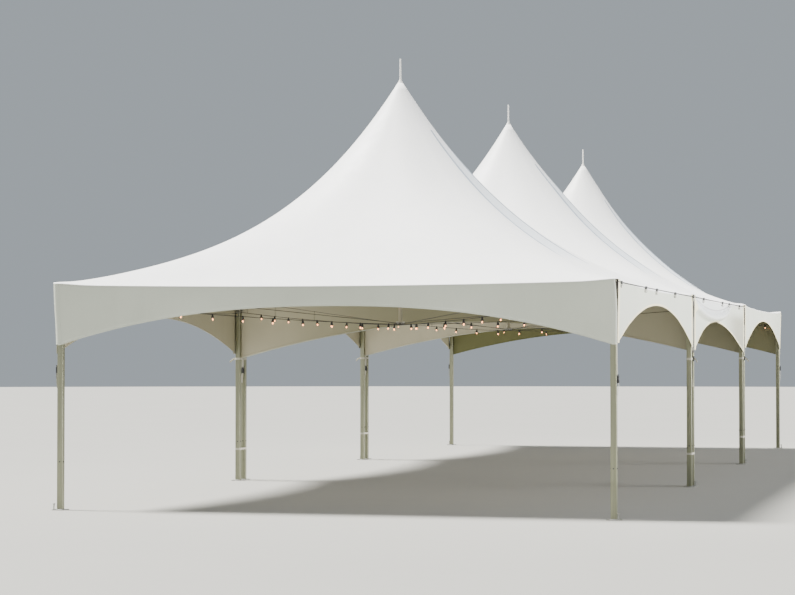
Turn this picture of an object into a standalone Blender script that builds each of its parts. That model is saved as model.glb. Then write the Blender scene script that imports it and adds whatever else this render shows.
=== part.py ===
# High peak frame marquee: three square tents in a row, one covered room from end to end.
# Metres, +Z up, +X across, +Y along the row. The origin is on the ground, mid plan.

import math

import bmesh
import bpy
from mathutils import Vector

# One tent
TENT_WIDTH = 6.096
EAVE_HEIGHT = 2.43
EAVE_SAG = 0.035
PEAK_HEIGHT = 4.87
STRAIGHT_RISE = 0.15
CURVED_RISE = 0.38
CURVE_POWER = 1.6
PEAK_STEEPNESS = 4.1
SHOULDER_ROUNDING = 0.85
FABRIC = 0.006

# The row: each tent's mast is tensioned on its own, so the peaks stand a little apart in height
TENT_NAMES = ("front", "middle", "rear")
PEAK_EXTRAS = (0.0, 0.12, 0.02)
JOINT_GAP = 0.14

# Valances: the row's outer ones are short, two of them slack, and those across the row hang deeper
FRONT_MIDDLE_DEPTH = 0.25
SIDE_MIDDLE_DEPTH = 0.22
SLACK_MIDDLE_DEPTH = 0.30
OUTER_CORNER_DEPTH = 0.67
CROSS_MIDDLE_DEPTH = 0.33
CROSS_CORNER_DEPTH = 0.75
FLAT_ARCH_POWER = 2.3
ROUND_ARCH_POWER = 1.9

# Rain gutter between two tents: a fabric channel that hangs between their valances
GUTTER_DEPTH = 0.09
GUTTER_SLOPE = 0.03

# Aluminium frame
TUBE = 0.064
SLEEVE_WALL = 0.004
SLEEVE_LENGTH = 0.18
ARM_LENGTH = 0.16
WEB_THICKNESS = 0.012
WEB_DROP = 0.09
LUG_WIDTH = 0.03
LUG_REACH = 0.05
LUG_THICKNESS = 0.04
LUG_DROP = 0.034
BASE_PLATE = 0.15
BASE_PLATE_THICKNESS = 0.008

# Flying mast
MAST_RADIUS = 0.025
MAST_FOOT_HEIGHT = 2.05
FOOT_DISC_RADIUS = 0.05
FOOT_DISC_THICKNESS = 0.012
CROWN_RADIUS = 0.042
CROWN_DROP = 0.035
CROWN_THICKNESS = 0.02
CAP_RADIUS = 0.05
CAP_RIM = 0.015
CAP_HEIGHT = 0.08
SPIKE_RADIUS = 0.014
SPIKE_TIP_RADIUS = 0.006
SPIKE_REACH = 0.285

# Cross cables and light cords
CABLE = 0.008
CABLE_SADDLE = 0.06
CORD = 0.007
CORD_SAMPLE = 0.42

# Fit and fineness
CLEARANCE = 0.0003
SPAN_STEPS = 10
RISE_STEPS = 10
MAST_SIDES = 20
RIGHT_ANGLE = math.pi / 2
DIAGONAL = math.sqrt(2)

# Places that follow from the sizes above
HALF = TENT_WIDTH / 2
PITCH = TENT_WIDTH + JOINT_GAP
SLEEVE = TUBE + 2 * SLEEVE_WALL
LEG_AXIS = HALF - FABRIC - CLEARANCE - SLEEVE / 2
SLEEVE_INNER = LEG_AXIS - SLEEVE / 2
ARM_END = LEG_AXIS - ARM_LENGTH
LUG_END = SLEEVE_INNER * DIAGONAL - LUG_REACH
HOLE_RADIUS = MAST_RADIUS + FABRIC + CLEARANCE
UPPER_CABLE = MAST_FOOT_HEIGHT - CLEARANCE - CABLE / 2
LOWER_CABLE = UPPER_CABLE - CABLE - CLEARANCE
UPPER_CORD = LOWER_CABLE - CABLE / 2 - CLEARANCE - CORD / 2
LOWER_CORD = UPPER_CORD - CORD - 2 * CLEARANCE

# Light cords, from their tent's own middle. The front tent's has a diagonal under the mast foot,
# a round turn at a corner, a swag along the left rail, then the other diagonal. It is drawn here
# with that swag at the back, and turned by a quarter when it is placed
CORNER_TURN = (
    (2.82, 2.82, 2.2235),
    (2.8632, 2.8632, 2.2275),
    (2.8755, 2.8862, 2.2300),
    (2.8730, 2.9122, 2.2310),
    (2.8564, 2.9324, 2.2295),
    (2.8314, 2.94, 2.2265),
    (2.79, 2.94, 2.2225),
)
FRONT_CORD_ROUTE = (
    (CLEARANCE - SLEEVE_INNER, CLEARANCE - SLEEVE_INNER, 2.240),
    (-2.25, -2.25, 2.165),
    (-1.50, -1.50, 2.105),
    (-0.70, -0.70, 2.050),
    (0.0, 0.0, LOWER_CORD),
    (0.70, 0.70, 2.050),
    (1.50, 1.50, 2.105),
    (2.25, 2.25, 2.165),
    *CORNER_TURN,
    (1.90, 2.94, 2.200),
    (0.65, 2.94, 2.190),
    (-0.65, 2.94, 2.190),
    (-1.90, 2.94, 2.200),
    *((-x, y, z) for x, y, z in reversed(CORNER_TURN)),
    (-2.25, 2.25, 2.165),
    (-1.50, 1.50, 2.105),
    (-0.70, 0.70, 2.053),
    (0.0, 0.0, UPPER_CORD),
    (0.70, -0.70, 2.053),
    (1.50, -1.50, 2.105),
    (2.25, -2.25, 2.165),
    (SLEEVE_INNER - CLEARANCE, CLEARANCE - SLEEVE_INNER, 2.240),
)

# The middle tent's runs from corner to corner under the mast foot
MIDDLE_CORD_ROUTE = (
    (CLEARANCE - SLEEVE_INNER, SLEEVE_INNER - CLEARANCE, 2.240),
    (-2.25, 2.25, 2.165),
    (-1.50, 1.50, 2.105),
    (-0.70, 0.70, 2.048),
    (0.0, 0.0, LOWER_CORD),
    (0.70, -0.70, 2.048),
    (1.50, -1.50, 2.105),
    (2.25, -2.25, 2.165),
    (SLEEVE_INNER - CLEARANCE, CLEARANCE - SLEEVE_INNER, 2.240),
)

# The rear tent's is a swag along the back
REAR_CORD_ROUTE = (
    (CLEARANCE - SLEEVE_INNER, SLEEVE_INNER - CLEARANCE, 2.240),
    (-2.60, 2.93, 2.185),
    (-1.90, 2.92, 2.135),
    (-1.00, 2.92, 2.100),
    (0.0, 2.92, 2.085),
    (1.00, 2.92, 2.100),
    (1.90, 2.92, 2.135),
    (2.60, 2.93, 2.185),
    (SLEEVE_INNER - CLEARANCE, SLEEVE_INNER - CLEARANCE, 2.240),
)

# Outside light cord along the right eave, over the first two tents
OUTSIDE_CORD_X = HALF + CLEARANCE + CORD / 2
OUTSIDE_CORD_ROUTE = (
    (OUTSIDE_CORD_X, -9.265, 2.408),
    (OUTSIDE_CORD_X, -8.10, 2.384),
    (OUTSIDE_CORD_X, -6.20, 2.370),
    (OUTSIDE_CORD_X, -4.30, 2.384),
    (OUTSIDE_CORD_X, -3.118, 2.404),
    (OUTSIDE_CORD_X, -1.60, 2.384),
    (OUTSIDE_CORD_X, 0.0, 2.372),
    (OUTSIDE_CORD_X, 1.60, 2.384),
    (OUTSIDE_CORD_X, 3.118, 2.404),
)


def clear_scene():
    for item in list(bpy.data.objects):
        bpy.data.objects.remove(item)


def make_material(name, color, roughness, metallic=0.0):
    material = bpy.data.materials.new(name)
    material.use_nodes = True
    surface = material.node_tree.nodes["Principled BSDF"]
    surface.inputs["Base Color"].default_value = (*color, 1.0)
    surface.inputs["Roughness"].default_value = roughness
    surface.inputs["Metallic"].default_value = metallic
    material.diffuse_color = (*color, 1.0)
    return material


def add_object(name, data, material, location=(0.0, 0.0, 0.0), turn=0.0):
    item = bpy.data.objects.new(name, data)
    item.location = location
    item.rotation_euler = (0.0, 0.0, turn)
    if material and not data.materials:
        data.materials.append(material)
    bpy.context.scene.collection.objects.link(item)
    return item


def mesh_from(name, points, faces):
    mesh = bpy.data.meshes.new(name)
    mesh.from_pydata(points, [], faces)
    mesh.update()
    return mesh


# Eave line, shared by canopies, valances and rails

def span_station(step):
    return HALF * (2 * step / SPAN_STEPS - 1)


def eave_height(along):
    # The eave hangs a little between its corners, in straight runs between stations
    place = (along / HALF + 1) * SPAN_STEPS / 2
    step = min(max(math.floor(place), 0), SPAN_STEPS - 1)
    near, far = (EAVE_HEIGHT - EAVE_SAG * (1 - (span_station(s) / HALF) ** 2) for s in (step, step + 1))
    return near + (far - near) * (place - step)


def seat_height(along):
    # Top of everything that carries the canopy's edge
    return eave_height(along) - FABRIC - CLEARANCE


def fitting_top():
    return seat_height(ARM_END)


def lug_height():
    return fitting_top() - LUG_DROP


# Canopies

def contour_radius(angle, rise):
    # Level line of the canopy: a square at the eave, a circle round the mast
    corner = HALF * DIAGONAL * (1 - rise) + HOLE_RADIUS * rise
    ratio = 1 + (DIAGONAL - 1) * (1 - rise) ** SHOULDER_ROUNDING
    size = corner / ratio
    across, along = abs(math.cos(angle)), abs(math.sin(angle))
    spread = DIAGONAL / ratio
    if spread < 1.0001:
        return size / max(across, along)
    power = math.log(2) / math.log(spread)
    return size / (across ** power + along ** power) ** (1 / power)


def canopy_lift(rise):
    # Share of the height from eave to peak: a straight run that steepens towards the mast
    steep_rise = 1 - STRAIGHT_RISE - CURVED_RISE
    return STRAIGHT_RISE * rise + CURVED_RISE * rise ** CURVE_POWER + steep_rise * rise ** PEAK_STEEPNESS


def canopy_mesh(peak):
    points, faces = [], []
    count = 4 * SPAN_STEPS
    for ring in range(RISE_STEPS + 1):
        rise = ring / RISE_STEPS
        for index in range(count):
            side, step = divmod(index, SPAN_STEPS)
            station = span_station(step)
            angle = math.atan2(-HALF, station) + side * RIGHT_ANGLE
            radius = contour_radius(angle, rise)
            edge = eave_height(station)
            height = edge + (peak - edge) * canopy_lift(rise)
            points.append((radius * math.cos(angle), radius * math.sin(angle), height))
    for ring in range(RISE_STEPS):
        for index in range(count):
            following = (index + 1) % count
            low, high = ring * count, (ring + 1) * count
            faces.append((low + index, low + following, high + following, high + index))
    return mesh_from("canopy", points, faces)


def add_canopy(name, mesh, middle, material):
    canopy = add_object(name, mesh, material, (0.0, middle, 0.0))
    skin = canopy.modifiers.new("Fabric", "SOLIDIFY")
    skin.thickness = FABRIC
    skin.offset = -1.0
    skin.use_even_offset = True


# Valances

def valance_mesh(name, half_length, middle_depth, corner_depth, arch_power):
    # Stands on the front side of a tent: outer face at y = -HALF, arched lower edge
    def depth(along):
        return middle_depth + (corner_depth - middle_depth) * abs(along / HALF) ** arch_power

    stations = [span_station(step) for step in range(SPAN_STEPS + 1)]
    stations[0], stations[-1] = -half_length, half_length
    points, faces = [], []
    for along in stations:
        for y in (-HALF, FABRIC - HALF):
            points.append((along, y, EAVE_HEIGHT - depth(along)))
            points.append((along, y, seat_height(along)))
    for step in range(SPAN_STEPS):
        here, there = 4 * step, 4 * step + 4
        faces.append((here, there, there + 1, here + 1))
        faces.append((here + 3, there + 3, there + 2, here + 2))
        faces.append((here + 1, there + 1, there + 3, here + 3))
        faces.append((here + 2, there + 2, there, here))
    last = 4 * SPAN_STEPS
    faces.append((0, 1, 3, 2))
    faces.append((last, last + 2, last + 3, last + 1))
    return mesh_from(name, points, faces)


# Gutters

def gutter_mesh():
    # Channel section, open at the top, that follows the eave line along X
    reach = JOINT_GAP / 2 - CLEARANCE
    floor = reach - GUTTER_SLOPE
    section = (
        (-reach, 0.0),
        (-reach, GUTTER_SLOPE - GUTTER_DEPTH),
        (-floor, -GUTTER_DEPTH),
        (floor, -GUTTER_DEPTH),
        (reach, GUTTER_SLOPE - GUTTER_DEPTH),
        (reach, 0.0),
        (reach - FABRIC, 0.0),
        (reach - FABRIC, GUTTER_SLOPE + FABRIC - GUTTER_DEPTH),
        (floor - FABRIC, FABRIC - GUTTER_DEPTH),
        (FABRIC - floor, FABRIC - GUTTER_DEPTH),
        (FABRIC - reach, GUTTER_SLOPE + FABRIC - GUTTER_DEPTH),
        (FABRIC - reach, 0.0),
    )
    stations = [span_station(step) for step in range(SPAN_STEPS + 1)]
    points = [(along, y, seat_height(along) + z) for along in stations for y, z in section]
    count = len(section)
    faces = []
    for step in range(SPAN_STEPS):
        here, there = step * count, (step + 1) * count
        for corner in range(count):
            following = (corner + 1) % count
            faces.append((here + corner, here + following, there + following, there + corner))
    last = SPAN_STEPS * count
    for quad in ((0, 1, 10, 11), (1, 2, 9, 10), (2, 3, 8, 9), (3, 4, 7, 8), (4, 5, 6, 7)):
        faces.append(tuple(reversed(quad)))
        faces.append(tuple(last + corner for corner in quad))
    return mesh_from("gutter", points, faces)


# Frame

def rail_mesh():
    # Runs between the arms of two corner fittings, on the front side of a tent
    ends = ARM_END - CLEARANCE
    inner = [span_station(step) for step in range(SPAN_STEPS + 1) if abs(span_station(step)) < ends]
    stations = [-ends, *inner, ends]
    points, faces = [], []
    for along in stations:
        top = seat_height(along)
        low = top - TUBE
        near, far = -LEG_AXIS - TUBE / 2, -LEG_AXIS + TUBE / 2
        points += [(along, near, low), (along, far, low), (along, far, top), (along, near, top)]
    for step in range(len(stations) - 1):
        for corner in range(4):
            following = (corner + 1) % 4
            here, there = 4 * step, 4 * step + 4
            faces.append((here + corner, here + following, there + following, there + corner))
    last = 4 * (len(stations) - 1)
    faces.append((3, 2, 1, 0))
    faces.append((last, last + 1, last + 2, last + 3))
    return mesh_from("rail", points, faces)


def box_mesh(low, high):
    shape = bmesh.new()
    bmesh.ops.create_cube(shape, size=1.0)
    low, high = Vector(low), Vector(high)
    size = high - low
    bmesh.ops.scale(shape, vec=size, verts=shape.verts)
    bmesh.ops.translate(shape, vec=(low + high) / 2, verts=shape.verts)
    mesh = bpy.data.meshes.new("block")
    shape.to_mesh(mesh)
    shape.free()
    return mesh


def web_mesh(top):
    # Triangular web between an arm along +X and the sleeve, sunk into both
    half = WEB_THICKNESS / 2
    outline = ((TUBE / 2, top), (ARM_LENGTH, top), (SLEEVE / 2, top - WEB_DROP), (TUBE / 2, top - WEB_DROP))
    points = [(x, y, z) for y in (-half, half) for x, z in outline]
    count = len(outline)
    faces = [tuple(range(count)), tuple(range(2 * count - 1, count - 1, -1))]
    for corner in range(count):
        following = (corner + 1) % count
        faces.append((corner + count, following + count, following, corner))
    mesh = mesh_from("web", points, faces)
    shape = bmesh.new()
    shape.from_mesh(mesh)
    bmesh.ops.recalc_face_normals(shape, faces=shape.faces)
    shape.to_mesh(mesh)
    shape.free()
    return mesh


def joined_mesh(name, base, additions):
    # Joins overlapping closed shapes into one closed mesh
    body = add_object(name, base, None)
    for index, (mesh, turn) in enumerate(additions):
        helper = add_object(f"{name}_helper_{index}", mesh, None, turn=turn)
        helper.hide_render = True
        helper.display_type = "WIRE"
        join = body.modifiers.new(f"Join {index}", "BOOLEAN")
        join.operation = "UNION"
        join.solver = "EXACT"
        join.object = helper
    bpy.context.view_layer.update()
    graph = bpy.context.evaluated_depsgraph_get()
    mesh = bpy.data.meshes.new_from_object(body.evaluated_get(graph))
    clear_scene()
    mesh.name = name
    return mesh


def leg_mesh():
    # Square tube on a base plate, with the corner fitting on top. The arms reach along +X
    # and +Y, and the cable lug points between them
    half, outer = TUBE / 2, SLEEVE / 2
    top = fitting_top()
    arm_low = top - SLEEVE
    plate = BASE_PLATE / 2
    lug_low, lug_high = lug_height() - LUG_THICKNESS / 2, lug_height() + LUG_THICKNESS / 2
    lug_tip = LEG_AXIS * DIAGONAL - LUG_END
    tube = box_mesh((-half, -half, BASE_PLATE_THICKNESS / 2), (half, half, top - SLEEVE_WALL))
    additions = [
        (box_mesh((-plate, -plate, 0.0), (plate, plate, BASE_PLATE_THICKNESS)), 0.0),
        (box_mesh((-outer, -outer, top - SLEEVE_LENGTH), (outer, outer, top)), 0.0),
        (box_mesh((0.0, -outer, arm_low), (ARM_LENGTH, outer, top)), 0.0),
        (box_mesh((-outer, 0.0, arm_low), (outer, ARM_LENGTH, top)), 0.0),
        (web_mesh(arm_low + SLEEVE_WALL), 0.0),
        (web_mesh(arm_low + SLEEVE_WALL), RIGHT_ANGLE),
        (box_mesh((outer, -LUG_WIDTH / 2, lug_low), (lug_tip, LUG_WIDTH / 2, lug_high)), RIGHT_ANGLE / 2),
    ]
    return joined_mesh("leg", tube, additions)


def mast_mesh(peak):
    # Turned profile, from the foot disc up to the spike above the canopy
    foot = MAST_FOOT_HEIGHT
    crown = peak - CROWN_DROP
    cap = peak + CLEARANCE
    profile = (
        (FOOT_DISC_RADIUS, foot),
        (FOOT_DISC_RADIUS, foot + FOOT_DISC_THICKNESS),
        (MAST_RADIUS, foot + FOOT_DISC_THICKNESS),
        (MAST_RADIUS, crown - CROWN_THICKNESS),
        (CROWN_RADIUS, crown - CROWN_THICKNESS),
        (CROWN_RADIUS, crown),
        (MAST_RADIUS, crown),
        (MAST_RADIUS, cap),
        (CAP_RADIUS, cap),
        (CAP_RADIUS, cap + CAP_RIM),
        (SPIKE_RADIUS, cap + CAP_HEIGHT),
        (SPIKE_TIP_RADIUS, peak + SPIKE_REACH),
    )
    points = []
    for radius, height in profile:
        for side in range(MAST_SIDES):
            angle = 2 * math.pi * side / MAST_SIDES
            points.append((radius * math.cos(angle), radius * math.sin(angle), height))
    faces = [tuple(range(MAST_SIDES - 1, -1, -1))]
    for ring in range(len(profile) - 1):
        low, high = ring * MAST_SIDES, (ring + 1) * MAST_SIDES
        for side in range(MAST_SIDES):
            following = (side + 1) % MAST_SIDES
            faces.append((low + side, low + following, high + following, high + side))
    last = (len(profile) - 1) * MAST_SIDES
    faces.append(tuple(range(last, last + MAST_SIDES)))
    mesh = mesh_from("mast", points, faces)
    mesh.shade_smooth()
    mesh.set_sharp_from_angle(angle=math.radians(40))
    return mesh


# Cables and cords

def line_object(name, points, diameter, resolution, material, location, turn=0.0):
    curve = bpy.data.curves.new(name, "CURVE")
    curve.dimensions = "3D"
    curve.bevel_depth = diameter / 2
    curve.bevel_resolution = resolution
    curve.use_fill_caps = True
    spline = curve.splines.new("POLY")
    spline.points.add(len(points) - 1)
    for target, point in zip(spline.points, points):
        target.co = (*point, 1.0)
    return add_object(name, curve, material, location, turn)


def cable_points(saddle_height):
    # From lug to lug through the tent's middle, level for a hand's width under the mast foot
    reach = LUG_END - 2 * CLEARANCE
    heights = (lug_height(), saddle_height, saddle_height, lug_height())
    places = (-reach, -CABLE_SADDLE, CABLE_SADDLE, reach)
    return [(place, 0.0, height) for place, height in zip(places, heights)]


def smooth_route(route):
    points = [Vector(point) for point in route]
    lengths = [(after - before).length for before, after in zip(points, points[1:])]
    slopes = [(points[1] - points[0]) / lengths[0]]
    for index in range(1, len(points) - 1):
        before, after = lengths[index - 1], lengths[index]
        back = (points[index] - points[index - 1]) / before
        ahead = (points[index + 1] - points[index]) / after
        slopes.append((back * after + ahead * before) / (before + after))
    slopes.append((points[-1] - points[-2]) / lengths[-1])
    samples = [points[0]]
    for index, length in enumerate(lengths):
        steps = max(2, round(length / CORD_SAMPLE))
        for step in range(1, steps + 1):
            t = step / steps
            samples.append(
                points[index] * (1 + 2 * t) * (1 - t) ** 2
                + slopes[index] * length * t * (1 - t) ** 2
                + points[index + 1] * t * t * (3 - 2 * t)
                + slopes[index + 1] * length * t * t * (t - 1)
            )
    return samples


def build():
    clear_scene()
    leg = leg_mesh()

    roof_vinyl = make_material("roof_vinyl", (0.86, 0.86, 0.84), 0.5)
    valance_vinyl = make_material("valance_vinyl", (0.80, 0.80, 0.76), 0.55)
    aluminium = make_material("aluminium", (0.66, 0.64, 0.58), 0.4, 0.9)
    mast_aluminium = make_material("mast_aluminium", (0.74, 0.73, 0.70), 0.35, 0.9)
    steel_cable = make_material("steel_cable", (0.22, 0.22, 0.20), 0.45, 0.8)
    black_rubber = make_material("black_rubber", (0.03, 0.03, 0.03), 0.6)

    narrow = HALF - FABRIC - CLEARANCE
    front_valance = valance_mesh("front_valance", HALF, FRONT_MIDDLE_DEPTH, OUTER_CORNER_DEPTH,
                                 FLAT_ARCH_POWER)
    side_valance = valance_mesh("side_valance", narrow, SIDE_MIDDLE_DEPTH, OUTER_CORNER_DEPTH,
                                ROUND_ARCH_POWER)
    slack_valance = valance_mesh("slack_valance", narrow, SLACK_MIDDLE_DEPTH, OUTER_CORNER_DEPTH,
                                 FLAT_ARCH_POWER)
    cross_valance = valance_mesh("cross_valance", HALF, CROSS_MIDDLE_DEPTH, CROSS_CORNER_DEPTH,
                                 ROUND_ARCH_POWER)
    own_valances = {"front_front": front_valance, "front_left": slack_valance,
                    "middle_right": slack_valance}
    rail = rail_mesh()
    sides = (("front", 0, cross_valance), ("right", 1, side_valance),
             ("back", 2, cross_valance), ("left", 3, side_valance))
    cords = ((FRONT_CORD_ROUTE, RIGHT_ANGLE), (MIDDLE_CORD_ROUTE, 0.0), (REAR_CORD_ROUTE, 0.0))
    corners = (("front_left", -1, -1), ("front_right", 1, -1), ("back_right", 1, 1), ("back_left", -1, 1))

    for index, tent in enumerate(TENT_NAMES):
        middle = (index - (len(TENT_NAMES) - 1) / 2) * PITCH
        place = (0.0, middle, 0.0)
        peak = PEAK_HEIGHT + PEAK_EXTRAS[index]
        add_canopy(f"canopy_{tent}", canopy_mesh(peak), middle, roof_vinyl)
        for side, quarter, valance in sides:
            turn = quarter * RIGHT_ANGLE
            mesh = own_valances.get(f"{tent}_{side}", valance)
            add_object(f"valance_{tent}_{side}", mesh, valance_vinyl, place, turn)
            add_object(f"rail_{tent}_{side}", rail, aluminium, place, turn)
        for quarter, (corner, across, along) in enumerate(corners):
            spot = (across * LEG_AXIS, middle + along * LEG_AXIS, 0.0)
            add_object(f"leg_{tent}_{corner}", leg, aluminium, spot, quarter * RIGHT_ANGLE)
        add_object(f"mast_{tent}", mast_mesh(peak), mast_aluminium, place)
        line_object(f"cable_{tent}_from_left", cable_points(UPPER_CABLE), CABLE, 2, steel_cable,
                    place, RIGHT_ANGLE / 2)
        line_object(f"cable_{tent}_from_right", cable_points(LOWER_CABLE), CABLE, 2, steel_cable,
                    place, -RIGHT_ANGLE / 2)
        route, turn = cords[index]
        line_object(f"light_cord_{tent}", smooth_route(route), CORD, 2, black_rubber, place, turn)
    gutter = gutter_mesh()
    for index, (near, far) in enumerate(zip(TENT_NAMES, TENT_NAMES[1:])):
        joint = (index + 1 - len(TENT_NAMES) / 2) * PITCH
        add_object(f"gutter_{near}_{far}", gutter, valance_vinyl, (0.0, joint, 0.0))
    line_object("light_cord_outside", smooth_route(OUTSIDE_CORD_ROUTE), CORD, 2, black_rubber,
                (0.0, 0.0, 0.0))


build()
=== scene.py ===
import math
import random

import bmesh
import bpy
from mathutils import Matrix, Vector, noise


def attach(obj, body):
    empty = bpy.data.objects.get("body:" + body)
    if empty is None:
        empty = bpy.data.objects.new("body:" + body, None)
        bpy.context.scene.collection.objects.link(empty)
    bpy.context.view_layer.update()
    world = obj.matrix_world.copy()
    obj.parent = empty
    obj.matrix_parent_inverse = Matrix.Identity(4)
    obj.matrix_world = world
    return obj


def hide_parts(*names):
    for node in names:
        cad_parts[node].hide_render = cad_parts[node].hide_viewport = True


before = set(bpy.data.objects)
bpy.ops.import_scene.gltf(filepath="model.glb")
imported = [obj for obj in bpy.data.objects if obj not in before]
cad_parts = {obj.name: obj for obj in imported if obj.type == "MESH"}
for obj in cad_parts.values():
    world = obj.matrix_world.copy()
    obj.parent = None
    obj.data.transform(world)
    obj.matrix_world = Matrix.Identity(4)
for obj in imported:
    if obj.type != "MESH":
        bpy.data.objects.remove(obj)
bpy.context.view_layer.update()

rightAngle = math.pi / 2

# Sizes that the whole marquee shares, in metres
marquee = {
    "half": 3.048,             # half a tent's width
    "row": 6.236,              # from one tent's middle to the next
    "eave": 2.43,
    "eaveSag": 0.035,
    "peaks": {"front": 4.87, "middle": 4.99, "rear": 4.89},
    "fabricSeat": 0.0063,      # from the eave line down to the rails
    "legAxis": 3.0057,
    "tube": 0.064,
    "sleeve": 0.072,
    "mastFoot": 2.05,
}
tents = {"front": -marquee["row"], "middle": 0.0, "rear": marquee["row"]}
sides = {"front": 0, "right": 1, "back": 2, "left": 3}
corners = {"front_left": (-1, -1), "front_right": (1, -1), "back_right": (1, 1), "back_left": (-1, 1)}


# Camera: the photograph's own place and lens, 795 by 595
cameraSet = {"place": (6.694, -32.209, 1.665), "lift": 1.450, "turn": 14.526, "lens": 103.49}


def makeCamera():
    data = bpy.data.cameras.new("camera")
    data.sensor_width = 36.0
    data.lens = cameraSet["lens"]
    data.clip_end = 400.0
    camera = bpy.data.objects.new("camera", data)
    camera.location = cameraSet["place"]
    camera.rotation_euler = (math.radians(90 + cameraSet["lift"]), 0.0, math.radians(cameraSet["turn"]))
    bpy.context.scene.collection.objects.link(camera)
    bpy.context.scene.camera = camera


makeCamera()
print("camera placed")


# Shared mesh helpers

def linked(name, data):
    made = bpy.data.objects.new(name, data)
    bpy.context.scene.collection.objects.link(made)
    return made


def meshOf(name, points, faces):
    mesh = bpy.data.meshes.new(name)
    mesh.from_pydata([tuple(point) for point in points], [], faces)
    mesh.update()
    return mesh


def meshFromShape(name, shape, smoothAngle=None):
    mesh = bpy.data.meshes.new(name)
    shape.to_mesh(mesh)
    shape.free()
    if smoothAngle is not None:
        mesh.shade_smooth()
        mesh.set_sharp_from_angle(angle=math.radians(smoothAngle))
    return mesh


def settle(piece, nodes=(), materials=()):
    # Gives a finished piece its materials, its body and what it stands for
    for material in materials:
        piece.data.materials.append(material)
    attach(piece, "root")
    if nodes:
        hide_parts(*nodes)
    return piece


def turns(count):
    # Angles all the way round, evenly spaced
    return [2 * math.pi * step / count for step in range(count)]


def addBox(shape, low, high, rounding=0.0, segments=2, place=Matrix(), materialIndex=0):
    made = bmesh.ops.create_cube(shape, size=1.0)["verts"]
    pairs = list(zip(low, high))
    low, high = Vector([min(pair) for pair in pairs]), Vector([max(pair) for pair in pairs])
    bmesh.ops.scale(shape, vec=high - low, verts=made)
    bmesh.ops.translate(shape, vec=(low + high) / 2, verts=made)
    bmesh.ops.transform(shape, matrix=place, verts=made)
    for face in {face for vert in made for face in vert.link_faces}:
        face.material_index = materialIndex
    if rounding:
        edges = list({edge for vert in made for edge in vert.link_edges})
        bevelled = bmesh.ops.bevel(shape, geom=edges, offset=rounding, segments=segments, profile=0.5,
                                   affect="EDGES", clamp_overlap=True)
        for face in bevelled["faces"]:
            face.material_index = materialIndex


def addSkin(shape, rings, materialIndex=0, closed=False):
    # Faces between rings of vertices, with end caps unless the rings run in a circle
    faces = [] if closed else [shape.faces.new(rings[0][::-1]), shape.faces.new(rings[-1])]
    for low, high in list(zip(rings, rings[1:])) + ([(rings[-1], rings[0])] if closed else []):
        for step, vert in enumerate(low):
            following = (step + 1) % len(low)
            faces.append(shape.faces.new((vert, low[following], high[following], high[step])))
    for face in faces:
        face.material_index = materialIndex


def addTurned(shape, profile, sidesAround, place=Matrix()):
    # Closed turned shape about Z from (radius, height) pairs, bottom to top
    addSkin(shape, [[shape.verts.new(place @ Vector((radius * math.cos(a), radius * math.sin(a), height)))
                     for a in turns(sidesAround)] for radius, height in profile])


def addPrism(shape, outline, low, high, place=Matrix(), materialIndex=0):
    addSkin(shape, [[shape.verts.new(place @ Vector((x, y, z))) for x, y in outline] for z in (low, high)],
            materialIndex)


def addSweep(shape, path, section, up=Vector((0, 0, 1)), materialIndex=0, closed=False):
    # Sweeps a closed section of (across, up) pairs along a path of points
    path, rings = [Vector(point) for point in path], []
    for index, point in enumerate(path):
        before = path[index - 1] if index or closed else point
        after = path[(index + 1) % len(path)] if index < len(path) - 1 or closed else point
        ahead = (after - before).normalized()
        across = ahead.cross(up)
        across = across.normalized() if across.length > 1e-6 else Vector((1, 0, 0))
        over = across.cross(ahead).normalized()
        rings.append([shape.verts.new(point + across * a + over * b) for a, b in section])
    addSkin(shape, rings, materialIndex, closed)


def turnedModel(*parts):
    # Turned shapes about one axis, each a profile with its number of sides
    shape = bmesh.new()
    for profile, sidesAround in parts:
        addTurned(shape, profile, sidesAround)
    return shape


def roundSection(radius, count=8):
    return [(radius * math.cos(a), radius * math.sin(a)) for a in turns(count)]


def oval(x, z, length, height, count=16):
    # Points round an upright oval over the X axis, from half its length and height
    return [(x + length * math.cos(a), 0.0, z + height * math.sin(a)) for a in turns(count)]


def roundedSquare(half, rounding, steps=4):
    outline = []
    for quarter, (sx, sy) in enumerate(((1, 1), (-1, 1), (-1, -1), (1, -1))):
        for step in range(steps + 1):
            angle = quarter * rightAngle + rightAngle * step / steps
            outline.append((sx * (half - rounding) + rounding * math.cos(angle),
                            sy * (half - rounding) + rounding * math.sin(angle)))
    return outline


def flatSection(width, thickness):
    return [(-width / 2, -thickness / 2), (width / 2, -thickness / 2),
            (width / 2, thickness / 2), (-width / 2, thickness / 2)]


def sidePlace(quarter, middle):
    return Matrix.Translation((0.0, middle, 0.0)) @ Matrix.Rotation(quarter * rightAngle, 4, "Z")


def shaped(name, shape, smoothAngle, materials, nodes=()):
    # A finished piece from its shape, with all faces looking outwards
    bmesh.ops.recalc_face_normals(shape, faces=shape.faces)
    return settle(linked(name, meshFromShape(name, shape, smoothAngle)), nodes, materials)


def gridFaces(rows, count, closed=False):
    # Quads between rows of as many points each
    return [(row * count + step, row * count + (step + 1) % count,
             (row + 1) * count + (step + 1) % count, (row + 1) * count + step)
            for row in range(rows - 1) for step in range(count if closed else count - 1)]


def withUv(mesh, values):
    layer = mesh.uv_layers.new(name="UVMap")
    for loop in mesh.loops:
        layer.data[loop.index].uv = values[loop.vertex_index]


def withValues(mesh, **layers):
    # A number for each point, which the cloth's material reads
    for name, values in layers.items():
        mesh.attributes.new(name, "FLOAT", "POINT").data.foreach_set("value", values)


def thicken(piece, thickness, offset=-1.0, materialOffset=0):
    skin = piece.modifiers.new("cloth thickness", "SOLIDIFY")
    skin.thickness, skin.offset, skin.material_offset = thickness, offset, materialOffset


# Geometry Nodes helpers

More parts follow.
